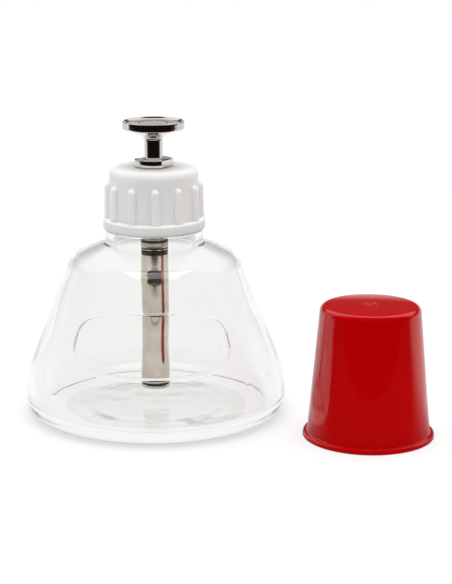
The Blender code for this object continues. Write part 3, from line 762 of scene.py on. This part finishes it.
def within(value: float, zone: Span) -> bool:
    """Tell whether a value lies between the ends of a zone."""
    return zone[0] < value < zone[1]


def turned_by(bearing: float) -> float:
    """Bring a bearing into the range from minus half a turn to half a turn."""
    return (bearing + math.pi) % math.tau - math.pi


@dataclass(frozen=True)
class ScrewThread:
    """A right-hand thread on neck or cap."""

    start: float
    turns: float
    pitch: float = 4.0 * MM
    depth: float = 1.2 * MM
    half_width: float = 1.1 * MM
    fullness: float = 1.6
    run_out: float = 0.06

    def stand(self, bearing: float, height: float) -> float:
        """Work out how far the thread stands out at a place.

        Args:
            bearing: angle round the axis.
            height: height above the table.

        Returns:
            The distance in metres.
        """
        share = (bearing % math.tau) / math.tau
        best = 0.0
        for whole in range(int(self.turns) + 1):
            turn = whole + share
            if turn <= self.turns:
                ends = min(1.0, turn / self.run_out, (self.turns - turn) / self.run_out)
                away = height - self.start - turn * self.pitch
                best = max(best, ends * min(1.0, self.fullness * swell(away, self.half_width)))
        return best * self.depth


def placed(name: str, data: bpy.types.ID) -> bpy.types.Object:
    """Put a mesh, a lamp or a camera in the scene.

    Args:
        name: the object's name.
        data: the mesh, lamp or camera.

    Returns:
        The new object.
    """
    made = bpy.data.objects.new(name, data)
    bpy.context.scene.collection.objects.link(made)
    return made


class Assembly:
    """Base of the sub-assemblies: turns shapes into pieces of the scene."""

    def __init__(self, axis: Vector, effects: SharedEffects) -> None:
        """Keep the place of the upright axis on the table, and the shared node groups."""
        self.axis = axis
        self.effects = effects

    def piece(
        self,
        name: str,
        shape: Shape,
        body: Body,
        slot: Slot,
        material: Material,
        node: str,
        sharp: float = 35.0,
    ) -> bpy.types.Object:
        """Put a shape in the scene as a piece that rides on a body.

        Args:
            name: the piece's name.
            shape: the shape, drawn round the origin's upright axis. It is used up.
            body: body that it rides on.
            slot: the record's material slot; not used.
            material: its material.
            node: CAD node that it stands for.
            sharp: edges sharper than this many degrees stay sharp.

        Returns:
            The new object.
        """
        bmesh.ops.translate(shape, verts=shape.verts[:], vec=(self.axis.x, self.axis.y, 0.0))
        mesh = bpy.data.meshes.new(name)
        shape.to_mesh(mesh)
        shape.free()
        mesh.shade_smooth()
        mesh.set_sharp_from_angle(angle=math.radians(sharp))
        mesh.materials.append(material)
        made = placed(name, mesh)
        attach(made, body.value)
        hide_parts(node)
        log.info("%s: %d faces on %s", name, len(mesh.polygons), body.value)
        return made

    def dress(self, node: str, material: Material) -> None:
        """Give a CAD node that stays in the scene its material."""
        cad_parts[node].material_slots[0].material = material
        log.info("%s: CAD shape kept, dressed in %s", node, material.name)


@dataclass(frozen=True)
class BottleSizes:
    """Sizes of the glass bottle. Its half section goes up the outside, over the lip and down the inside."""

    oval_height: float = 37.7 * MM
    oval_half_width: float = 32.2 * MM
    oval_half_rise: float = 12.6 * MM
    oval_squareness: float = 3.0
    oval_field: float = 0.5
    line_half_width: float = 0.7 * MM
    line_stand: float = 0.8 * MM
    cone_degrees: float = 21.2
    cone_radius: float = 43.715 * MM
    oval_zone: Span = (24 * MM, 51 * MM)
    thread_zone: Span = (78 * MM, 95.5 * MM)
    thread_root: float = 14.7 * MM
    wall_zone: Span = (8 * MM, 62 * MM)
    outer_skin: float = 1.0 * MM
    inner_skin: float = 2.0 * MM
    wave: float = 0.06 * MM
    wave_rows: Rows = ((3, 60.0, 1.0, 0.0), (7, -35.0, 0.8, 1.3), (11, 20.0, 0.4, 0.4))
    ripple: float = 0.2 * MM
    ripple_length: float = 7.5 * MM
    floor_radius: float = 37.0 * MM
    floor_zone: Span = (2.62 * MM, 5 * MM)
    floor_fade: float = 0.2
    outside: Rows = (
        (0, 1.0), (16, 0.9), (26, 0.25, 20, 5), (36.4, 0, 3, 4), (52.5, 0, 7, 10), (52.5, 15.053, 27, 10),
        (49.028, 24.0, 0, 0, 80), (38.556, 51.0), (33.635, 63.69, 7, 12), (19.5, 69.983, 2, 6),
        (19.5, 75.0, 0.4, 4), (18.5, 75.0), (18.5, 77.8, 0.4, 3), (14.75, 77.8, 0.5, 3),
        (14.75, 79, 0, 0, 32), (14.75, 95), (14.75, 96.382, 0.8, 4), (12.25, 96.382, 0.8, 4),
    )
    inside: Rows = (
        (12.25, 76.4, 1, 4), (16.6, 76.4, 1.5, 6), (16.6, 68.55, 3, 5), (31.286, 61.451, 7, 10),
        (34.584, 52.948, 0, 0, 14), (46.25, 22.871), (49.5, 14.492, 24, 10),
        (49.5, 5.0, 4, 8), (43.5, 2.6, 6, 6), (37.2, 2.6, 6, 4), (35.6, 2.778, 0, 0, 10), (29.8, 3.422),
        (28.2, 3.6, 4, 5), (26.5, 3.61, 0, 0, 14), (0, 3.8),
    )
    dense_arc: float = math.radians(96)
    dense_steps: int = 210
    steps: int = 84


class GlassBottle(Assembly):
    """The pressed glass bottle."""

    sizes = BottleSizes()
    thread = ScrewThread(start=87.98 * MM, turns=1.1)
    finish = Pressed("bottle_glass", (0.985, 0.985, 0.984), (0.976, 0.977, 0.976))

    def outer_radius(self, height: float) -> float:
        """Give the radius of the cone's outside at a height."""
        sizes = self.sizes
        return sizes.cone_radius - (height - sizes.oval_height) * math.tan(math.radians(sizes.cone_degrees))

    def oval(self, bearing: float, height: float) -> float:
        """Work out how far the raised oval line stands out at a place of the cone.

        Args:
            bearing: angle round the axis, 0 at the front.
            height: height above the table.

        Returns:
            The distance in metres.
        """
        sizes = self.sizes
        across = abs(bearing) * sizes.cone_radius / sizes.oval_half_width
        rise = abs(height - sizes.oval_height) / math.cos(math.radians(sizes.cone_degrees))
        along = rise / sizes.oval_half_rise
        power = sizes.oval_squareness
        level = (across**power + along**power) ** (1 / power)
        if level < sizes.oval_field:
            return 0.0
        slope_x = (across / level) ** (power - 1) / sizes.oval_half_width
        slope_z = (along / level) ** (power - 1) / sizes.oval_half_rise
        return sizes.line_stand * swell((level - 1) / math.hypot(slope_x, slope_z), sizes.line_half_width)

    def push(self, radius: float, bearing: float, height: float) -> float:
        """Give the distance by which a point leaves the plain turned shape.

        Args:
            radius: distance from the axis.
            bearing: angle round the axis.
            height: height above the table.

        Returns:
            The distance in metres.
        """
        sizes = self.sizes
        if radius > sizes.thread_root and within(height, sizes.thread_zone):
            return self.thread.stand(bearing, height)
        depth = self.outer_radius(height) - radius
        if within(height, sizes.oval_zone) and depth < sizes.outer_skin:
            return self.oval(turned_by(bearing + QUARTER), height)
        if within(height, sizes.wall_zone) and depth > sizes.inner_skin:
            return sizes.wave * sum(
                share * math.sin(count * bearing + math.tau * height / (length * MM) + phase)
                for count, length, share, phase in sizes.wave_rows
            )
        return 0.0

    def ruffle(self, shape: Shape) -> None:
        """Give the inside of the bottom the flow marks of pressed glass.

        Args:
            shape: the bottle, round the upright axis.
        """
        sizes = self.sizes
        for point in shape.verts:
            radius = math.hypot(point.co.x, point.co.y)
            if radius < sizes.floor_radius and within(point.co.z, sizes.floor_zone):
                fade = min(1.0, (1 - radius / sizes.floor_radius) / sizes.floor_fade)
                point.co.z += fade * sizes.ripple * noise.noise(point.co / sizes.ripple_length)

    def build(self) -> None:
        """Build the bottle and dress it."""
        sizes = self.sizes
        section = Section(corners([*sizes.outside, *sizes.inside]))
        shape = section.spun(sizes.steps, sizes.dense_arc, sizes.dense_steps)
        push_out(shape, self.push)
        self.ruffle(shape)
        glass = self.finish.material(self.effects)
        self.piece("bottle", shape, Body.BOTTLE, Slot.GLASS, glass, "glass_bottle", sharp=50.0)


@dataclass(frozen=True)
class CapSizes:
    """Sizes of the screw cap. Its half section goes from the hole over the top and back up the bore."""

    ribs: int = 12
    rib_half_width: float = 1.6 * MM
    rib_stand: float = 1.75 * MM
    rib_top: float = 92.0 * MM
    rib_foot: float = 79.5 * MM
    rib_turn: float = math.radians(-86.3)
    rib_roundness: float = 2.6
    wall: Span = (17.0 * MM, 18.2 * MM)
    wall_top: float = 96.5 * MM
    bore: float = 16.3 * MM
    bore_skin: float = 0.05 * MM
    thread_zone: Span = (79 * MM, 97 * MM)
    rows: Rows = (
        (5.8, 99.982), (17.6, 99.982, 3, 8), (17.686, 96.5, 0, 0, 36), (18.085, 80.2),
        (18.1, 79.582, 0.4, 3), (20.4, 79.582, 0.8, 5), (20.4, 75.282, 0.9, 5), (18.8, 75.282, 0.3, 3),
        (18.8, 78.282), (16.3, 78.282, 0.3, 3), (16.3, 80, 0, 0, 24), (16.3, 96), (16.3, 97.982, 0.5, 3),
        (5.8, 97.982),
    )
    steps: int = 384


class ScrewCap(Assembly):
    """The white screw cap with its liner."""

    sizes = CapSizes()
    thread = ScrewThread(start=86.28 * MM, turns=1.1)
    white = Moulded(
        "cap_white",
        (0.845, 0.84, 0.83),
        (0.82, 0.815, 0.8),
        (0.32, 0.42),
        wave_scale=120.0,
        relief=0.03 * MM,
        specular=0.1,
        subsurface=0.6,
        sheer=0.75,
    )
    foam = Moulded(
        "liner_foam", (0.9, 0.9, 0.88), (0.85, 0.85, 0.82), (0.6, 0.75), grain_share=0.8, sheer=0.75
    )

    def push(self, radius: float, bearing: float, height: float) -> float:
        """Give the distance by which ribs stand out and the thread stands in.

        Args:
            radius: distance from the axis.
            bearing: angle round the axis.
            height: height above the table.

        Returns:
            The distance in metres.
        """
        sizes = self.sizes
        if abs(radius - sizes.bore) < sizes.bore_skin and within(height, sizes.thread_zone):
            return -self.thread.stand(bearing, height)
        if not (within(radius, sizes.wall) and within(height, (sizes.rib_foot, sizes.wall_top))):
            return 0.0
        spacing = math.tau / sizes.ribs
        away = (bearing - sizes.rib_turn + spacing / 2) % spacing - spacing / 2
        distance = math.hypot(away * radius, max(0.0, height - sizes.rib_top))
        share = distance / sizes.rib_half_width
        return sizes.rib_stand * math.sqrt(1 - share**sizes.rib_roundness) if share < 1 else 0.0

    def build(self) -> None:
        """Build the cap and dress the liner."""
        shape = Section(corners(self.sizes.rows)).spun(self.sizes.steps)
        push_out(shape, self.push)
        white = self.white.material(self.effects)
        self.piece("cap", shape, Body.CAP, Slot.WHITE, white, "screw_cap", sharp=42.0)
        self.dress("cap_liner", self.foam.material(self.effects))


@dataclass(frozen=True)
class PumpSizes:
    """Sizes of the plunger pump, with the half sections of its turned pieces."""

    collar: Rows = (
        (5.8, 100.282), (7.7, 100.282, 0.15, 2), (7.7, 103.032, 0.35, 4), (4.2, 103.032, 0.15, 2),
        (4.2, 102.082), (5.8, 102.082),
    )
    barrel: Rows = (
        (4.4, 12.0), (5.5, 12.0, 0.2, 3), (5.5, 94.882), (8.5, 94.882, 0.2, 2), (8.5, 96.382, 0.2, 2),
        (5.5, 96.382), (5.5, 101.782), (5.0, 101.782), (5.0, 92.182), (4.4, 92.182),
    )
    foot: Rows = (
        (1.2, 9.5, 0.2, 2), (5.5, 9.5, 0.3, 3), (5.5, 10.8, 0.15, 2), (4.1, 10.8), (4.1, 19.3621),
        (2.5, 19.3621), (2.5, 14.2), (1.2, 14.2),
    )
    rod: Rows = (
        (1.2, 52.4621), (2.6, 52.4621, 0.2, 2), (2.6, 58.4621), (3.6, 58.4621, 0.2, 2), (3.6, 90.882),
        (3.0, 90.882), (3.0, 92.482), (3.6, 92.482), (3.6, 110.732, 0.1, 2), (2.6, 110.732),
        (2.6, 113.932), (1.2, 113.932),
    )
    dish: Rows = (
        (2.9, 111.032), (3.95, 111.032, 0.12, 2), (3.95, 112.05, 1.3, 8), (12.25, 115.05, 0.55, 6),
        (12.25, 118.032, 0.35), (11.65, 118.032, 0.2, 4), (10.6, 117.232, 1.8, 8), (5.8, 117.132, 0.1, 2),
        (5.8, 116.032), (4.5, 116.032), (4.5, 115.132), (1.2, 115.132), (1.2, 114.232), (2.9, 114.232),
    )
    flat_distance: float = 6.55 * MM
    flat_degrees: float = -32.0
    flat_edge: float = 0.12 * MM
    flat_cuts: int = 2
    plate_height: float = 117.132 * MM
    plate_bottom: float = 116.332 * MM
    plate_radius: float = 5.5 * MM
    plate_steps: int = 96
    hole_radius: float = 0.45 * MM
    hole_circle: float = 3.0 * MM
    hole_steps: int = 16
    holes: int = 6
    spring_bottom: float = 20.7621 * MM
    spring_length: float = 25.0 * MM
    spring_radius: float = 3.55 * MM
    wire_radius: float = 0.35 * MM
    wire_steps: int = 12
    spring_turns: int = 8
    turn_steps: int = 48
    stroke: float = 7.7 * MM
    # Heights of the dark bands painted on the barrel: painted reflections of the dark room.
    painted_reflection_bands: tuple[Span, ...] = (
        (62.9 * MM, 65.6 * MM), (65.85 * MM, 67.1 * MM), (69.8 * MM, 71.1 * MM), (71.35 * MM, 72.8 * MM),
    )
    steps: int = 128


class PlungerPump(Assembly):
    """Barrel, plunger, valves and spring."""

    sizes = PumpSizes()

    def __init__(self, axis: Vector, effects: SharedEffects) -> None:
        """Set the finishes out round the pump's axis.

        Args:
            axis: place of the pump's axis on the table.
            effects: the shared node groups.
        """
        super().__init__(axis, effects)
        here = (axis.x, axis.y)
        self.bright = Turned("nickel_bright", (0.74, 0.71, 0.67), (0.7, 0.66, 0.61), (0.03, 0.06), here)
        # The satin nickel carries the painted reflection bands.
        self.satin = Turned(
            "nickel_satin", (0.66, 0.59, 0.51), (0.54, 0.47, 0.39), (0.05, 0.12), here, painted_reflection_bands=self.sizes.painted_reflection_bands
        )
        self.brass = Turned("turned_brass", (0.7, 0.53, 0.26), (0.62, 0.45, 0.2), (0.2, 0.32), here)
        self.steel = Turned("bright_steel", (0.62, 0.62, 0.63), (0.55, 0.55, 0.56), (0.15, 0.25), here)
        self.rubber = Moulded(
            "seal_rubber", (0.035, 0.035, 0.035), (0.02, 0.02, 0.02), (0.5, 0.65), grain_share=0.7
        )
        self.nylon = Moulded(
            "bush_nylon", (0.86, 0.84, 0.78), (0.82, 0.79, 0.72), (0.4, 0.5), grain_share=0.5
        )

    def turned(self, rows: Rows) -> Shape:
        """Turn a pump piece from rows in millimetres."""
        return Section(corners(rows)).spun(self.sizes.steps)

    def collar(self) -> Shape:
        """Turn the collar nut and mill its two spanner flats.

        Returns:
            The shape.
        """
        shape = self.turned(self.sizes.collar)
        for facing in (0.0, math.pi):
            turn = math.radians(self.sizes.flat_degrees) + facing
            normal = Vector((math.cos(turn), math.sin(turn), 0.0))
            plane = {"plane_co": normal * self.sizes.flat_distance, "plane_no": normal, "clear_outer": True}
            cut = bmesh.ops.bisect_plane(shape, geom=whole(shape), **plane)["geom_cut"]
            rim = [item for item in cut if isinstance(item, bmesh.types.BMEdge)]
            bmesh.ops.edgeloop_fill(shape, edges=rim)
            edge = {"offset": self.sizes.flat_edge, "affect": "EDGES", "segments": self.sizes.flat_cuts}
            bmesh.ops.bevel(shape, geom=rim, profile=0.5, material=-1, **edge)
        return shape

    def plate(self) -> Shape:
        """Make the outlet plate: a disc with its holes drilled through.

        Returns:
            The shape.
        """
        sizes = self.sizes
        shape = bmesh.new()
        places = [Vector((0.0, 0.0, 0.0))]
        for step in range(sizes.holes):
            turn = math.tau * step / sizes.holes
            places.append(Vector((math.cos(turn), math.sin(turn), 0.0)) * sizes.hole_circle)
        bmesh.ops.create_circle(shape, segments=sizes.plate_steps, radius=sizes.plate_radius)
        for place in places:
            hole = {"segments": sizes.hole_steps, "radius": sizes.hole_radius}
            bmesh.ops.create_circle(shape, matrix=Matrix.Translation(place), **hole)
        bmesh.ops.triangle_fill(shape, edges=shape.edges[:], use_beauty=True, normal=(0, 0, 1))
        bmesh.ops.translate(shape, verts=shape.verts[:], vec=(0, 0, sizes.plate_bottom))
        lifted = bmesh.ops.extrude_face_region(shape, geom=shape.faces[:], use_keep_orig=True)["geom"]
        points = [item for item in lifted if isinstance(item, bmesh.types.BMVert)]
        bmesh.ops.translate(shape, verts=points, vec=(0, 0, sizes.plate_height - sizes.plate_bottom))
        bmesh.ops.recalc_face_normals(shape, faces=shape.faces[:])
        return shape

    def spring(self) -> Shape:
        """Wind the return spring as one wire.

        Returns:
            The shape.
        """
        sizes = self.sizes
        steps = sizes.turn_steps * sizes.spring_turns
        shape = bmesh.new()
        stand = Matrix.Translation((sizes.spring_radius, 0.0, sizes.spring_bottom + sizes.wire_radius))
        upright = stand @ Matrix.Rotation(QUARTER, 4, "X")
        wire = {"segments": sizes.wire_steps, "radius": sizes.wire_radius}
        bmesh.ops.create_circle(shape, cap_ends=True, matrix=upright, **wire)
        rise = sizes.spring_length - 2 * sizes.wire_radius
        bmesh.ops.spin(
            shape,
            geom=whole(shape),
            axis=(0, 0, 1),
            dvec=(0, 0, rise / steps),
            angle=math.tau * sizes.spring_turns,
            steps=steps,
        )
        close_seams(shape)
        return shape

    def build(self) -> None:
        """Build the pump's visible pieces and its spring, and dress the pieces inside."""
        sizes = self.sizes
        finishes = (self.bright, self.satin, self.steel, self.rubber, self.brass, self.nylon)
        bright, satin, steel, rubber, brass, nylon = (one.material(self.effects) for one in finishes)
        for name, shape, body, material, node in (
            ("collar", self.collar(), Body.CAP, bright, "collar_nut"),
            ("barrel", self.turned(sizes.barrel), Body.CAP, satin, "pump_barrel"),
            ("foot", self.turned(sizes.foot), Body.CAP, satin, "foot_valve"),
            ("rod", self.turned(sizes.rod), Body.PLUNGER, bright, "stem"),
            ("dish", self.turned(sizes.dish), Body.PLUNGER, bright, "press_dish"),
            ("plate", self.plate(), Body.PLUNGER, bright, "outlet_plate"),
        ):
            self.piece(name, shape, body, Slot.NICKEL, material, node)
        coil = self.piece("coil", self.spring(), Body.CAP, Slot.STEEL, steel, "return_spring", sharp=50.0)
        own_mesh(coil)
        for node in ("inlet_ball", "delivery_ball", "spring_seat", "stop_ring"):
            self.dress(node, steel)
        for node in ("barrel_gasket", "stem_seal", "foot_gasket", "piston_seal"):
            self.dress(node, rubber)
        self.dress("piston_head", brass)
        self.dress("gland_bush", nylon)


@dataclass(frozen=True)
class CoverSizes:
    """Sizes of the dust cover. Its half section goes from the crown to the rim and back up inside."""

    rows: Rows = (
        (0, 52.4), (0.7, 52.4, 0.2, 2), (0.9, 52.3, 0.2, 2), (2.2, 52.3, 0.3, 3), (2.5, 52.58, 0.3, 3),
        (6, 52.53), (10, 52.41), (14, 52.23), (16.8, 52.07), (19.4, 51.88, 2.2, 12), (23.9, 1.9, 0.5, 4),
        (25.6, 1.8, 0.8, 8), (25.6, 0, 0.4, 4), (22.4, 0, 0.3, 3), (17.9, 50.34, 1.5), (0, 50.34),
    )
    steps: int = 256


class DustCover(Assembly):
    """The red tapered cover that stands beside the bottle."""

    sizes = CoverSizes()
    red = Moulded(
        "cover_red",
        (0.485, 0.0, 0.0005),
        (0.47, 0.0, 0.0005),
        (0.03, 0.06),
        wave_scale=55.0,
        grain_share=0.02,
    )

    def build(self) -> None:
        """Build the cover with its rolled rim and the gate mark on its crown."""
        shape = Section(corners(self.sizes.rows)).spun(self.sizes.steps)
        red = self.red.material(self.effects)
        self.piece("cover", shape, Body.COVER, Slot.RED, red, "dust_cover", sharp=50.0)


@dataclass(frozen=True)
class Studio:
    """Table, light and camera."""

    front_edge: float = -0.215
    back_edge: float = 3.0
    half_width: float = 0.75
    fade_front: Span = (-0.25, -0.17)
    fade_dark: float = 0.05
    fade_near: float = 0.19
    fade_side: Span = (0.14, 0.42)
    fade_edge: float = 0.85
    floor_white: float = 0.9
    floor_rough: float = 0.8
    floor_glow: float = 0.55
    glow_band: Span = (0.15, 0.7)
    dark: Colour = (0.009, 0.005, 0.004)
    rear_band: Span = (0.1, 0.3)
    low_band: Span = (0.09, 0.215)
    rise_band: Span = (0.38, 0.52)
    top_band: Span = (0.86, 0.97)
    ambient_band: Span = (-0.2, 0.6)
    over_band: Span = (0.1, 0.85)
    open_band: Span = (-0.6, -0.2)
    side_band: Span = (-0.2, 0.3)
    rear_grey: float = 0.07
    side_grey: float = 0.6
    bent_grey: float = 0.8
    deep_grey: float = 0.7
    ambient_rear: float = 0.79
    ambient_front: float = 0.46
    ambient_top: float = 1.0
    lamp_height: float = 1.6
    lamp_width: float = 1.2
    lamp_depth: float = 1.2
    lamp_back: float = 0.05
    lamp_power: float = 14.0
    focal_pixels: float = 1759.0
    clip_near: float = 0.01
    pitch: float = math.radians(14.0)
    eye: tuple[float, float, float] = (0.0, -0.6841, 0.2201)

    def floor(self) -> None:
        """Lay the pale table top. It keeps the shadow and is white to the eye, to metal and to glass."""
        shape = bmesh.new()
        bmesh.ops.create_grid(shape, x_segments=1, y_segments=1, size=1.0)
        middle = (self.front_edge + self.back_edge) / 2
        half_depth = (self.back_edge - self.front_edge) / 2
        bmesh.ops.scale(shape, verts=shape.verts[:], vec=(self.half_width, half_depth, 1.0))
        bmesh.ops.translate(shape, verts=shape.verts[:], vec=(0.0, middle, 0.0))
        mesh = bpy.data.meshes.new("table")
        shape.to_mesh(mesh)
        shape.free()
        table = placed("table", mesh)
        made, board, place = begin("table_white")
        white = (self.floor_white,) * 3 + (1.0,)
        dull = {"Roughness": self.floor_rough, "Specular_IOR_Level": 0.0}
        matt = board.add("ShaderNodeBsdfPrincipled", Base_Color=white, **dull)
        glow = board.add("ShaderNodeEmission", Strength=1.0)
        x, y, _ = board.split(place)
        path = board.add("ShaderNodeLightPath")
        eye = path.outputs["Is Camera Ray"]
        mirrored = board.math("MAXIMUM", path.outputs["Is Glossy Ray"], path.outputs["Is Transmission Ray"])
        direct = board.math("SUBTRACT", 1.0, board.at_least(path.outputs["Transmission Depth"], 1))
        depth = board.math("SUBTRACT", y, board.math("MULTIPLY", direct, self.fade_near))
        front = board.ramp(depth, *self.fade_front, self.fade_dark, 1.0)
        side = board.ramp(board.math("ABSOLUTE", x), *self.fade_side, 1.0, self.fade_edge)
        plain = board.math("MAXIMUM", eye, self.plainly_through(board, path))
        fade = board.math("MAXIMUM", board.math("MULTIPLY", front, side), plain)
        board.link(self.grey(board, fade), glow.inputs["Color"])
        share = board.ramp(y, *self.glow_band, self.floor_glow, 1.0)
        bright = board.math("MAXIMUM", board.math("MULTIPLY", eye, share), mirrored)
        board.show(board.blend(bright, matt, glow))
        mesh.materials.append(made)

    @staticmethod
    def plainly_through(board: Board, path: Node) -> Socket:
        """Tell rays that only pass glass from rays that meet the barrel inside the bottle.

        Args:
            board: the tree to add the nodes to.
            path: its Light Path node.

        Returns:
            A socket that is 1 for rays that only pass glass.
        """
        through = board.at_least(path.outputs["Transmission Depth"], 1)
        walls = board.at_least(path.outputs["Transmission Depth"], 4)
        bounced = board.at_least(path.outputs["Glossy Depth"], 1)
        inside = board.math("MULTIPLY", walls, bounced)
        return board.math("MULTIPLY", through, board.math("SUBTRACT", 1.0, inside))

    @staticmethod
    def grey(board: Board, level: Socket) -> Socket:
        """Turn a level into a neutral colour.

        Args:
            board: the tree to add the node to.
            level: how bright it is.

        Returns:
            The colour's socket.
        """
        colour = board.add("ShaderNodeCombineColor")
        for socket in colour.inputs:
            board.link(level, socket)
        return colour.outputs[0]

    def world(self) -> None:
        """Set the room: white to the eye and through glass, a dark front and a bright rear for metal."""
        made = bpy.data.worlds.new("studio")
        bpy.context.scene.world = made
        made.use_nodes = True
        board = Board(made.node_tree)
        _, y, z = board.split(board.add("ShaderNodeTexCoord").outputs["Generated"])
        rear = board.mask(y, self.rear_band)
        low = board.ramp(z, *self.low_band, 1.0, self.rear_grey)
        rise = board.mask(z, self.rise_band)
        fall = board.ramp(z, *self.top_band, 1.0, self.rear_grey)
        high = board.math("MULTIPLY", rise, fall)
        metal = board.mix(rear, self.dark, self.grey(board, board.math("MAXIMUM", low, high)))
        level = board.ramp(y, *self.ambient_band, self.ambient_front, self.ambient_rear)
        over = board.mask(z, self.over_band)
        soft = board.mix(over, self.grey(board, level), (self.ambient_top,) * 3)
        path = board.add("ShaderNodeLightPath")
        open_side = board.mask(y, self.open_band)
        side = board.ramp(y, *self.side_band, self.side_grey, 1.0)
        seen = board.math("MAXIMUM", open_side, self.plainly_through(board, path))
        level = board.math("MULTIPLY", seen, side)
        bent = board.ramp(path.outputs["Glossy Depth"], 0.0, 1.0, 1.0, self.bent_grey)
        clear = board.mix(board.math("MULTIPLY", level, bent), self.dark, WHITE)
        many = board.at_least(path.outputs["Glossy Depth"], 2)
        colour = board.mix(path.outputs["Is Glossy Ray"], soft, metal)
        passed = board.mix(path.outputs["Is Transmission Ray"], colour, clear)
        settled = board.mix(many, passed, (self.deep_grey,) * 3)
        shown = board.mix(path.outputs["Is Camera Ray"], settled, WHITE)
        back = board.add("ShaderNodeBackground", Strength=1.0)
        out = board.add("ShaderNodeOutputWorld")
        board.link(shown, back.inputs["Color"])
        board.link(back.outputs[0], out.inputs["Surface"])

    def lamp(self) -> None:
        """Hang the soft box over the table."""
        data = bpy.data.lights.new("soft_box", "AREA")
        data.shape = "RECTANGLE"
        data.size = self.lamp_width
        data.size_y = self.lamp_depth
        data.energy = self.lamp_power
        lamp = placed("soft_box", data)
        lamp.location = (0.0, self.lamp_back, self.lamp_height)
        lamp.visible_glossy = False

    def camera(self) -> None:
        """Set the camera up at the height and slant of the view."""
        data = bpy.data.cameras.new("camera")
        data.sensor_width = SENSOR
        data.sensor_fit = "AUTO"
        data.lens = self.focal_pixels / max(IMAGE_WIDTH, IMAGE_HEIGHT) * SENSOR
        data.clip_start = self.clip_near
        camera = placed("camera", data)
        camera.location = self.eye
        camera.rotation_euler = (QUARTER - self.pitch, 0.0, 0.0)
        bpy.context.scene.camera = camera

    def build(self) -> None:
        """Build table, room, lamp and camera."""
        bpy.context.scene.view_settings.view_transform = "Standard"
        self.floor()
        self.world()
        self.lamp()
        self.camera()


def middle_of(node: str) -> Vector:
    """Give the place of a node's upright axis on the table."""
    low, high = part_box(node)
    return Vector(((low.x + high.x) / 2, (low.y + high.y) / 2))


def main() -> None:
    """Build every sub-assembly and the studio."""
    logging.basicConfig(level=logging.INFO, format="%(relativeCreated)d %(name)s %(message)s")
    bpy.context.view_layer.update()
    effects = SharedEffects()
    bottle_axis = middle_of("glass_bottle")
    for assembly in (
        GlassBottle(bottle_axis, effects),
        ScrewCap(bottle_axis, effects),
        PlungerPump(bottle_axis, effects),
        DustCover(middle_of("dust_cover"), effects),
    ):
        assembly.build()
    Studio().build()


if __name__ == "__main__":
    main()
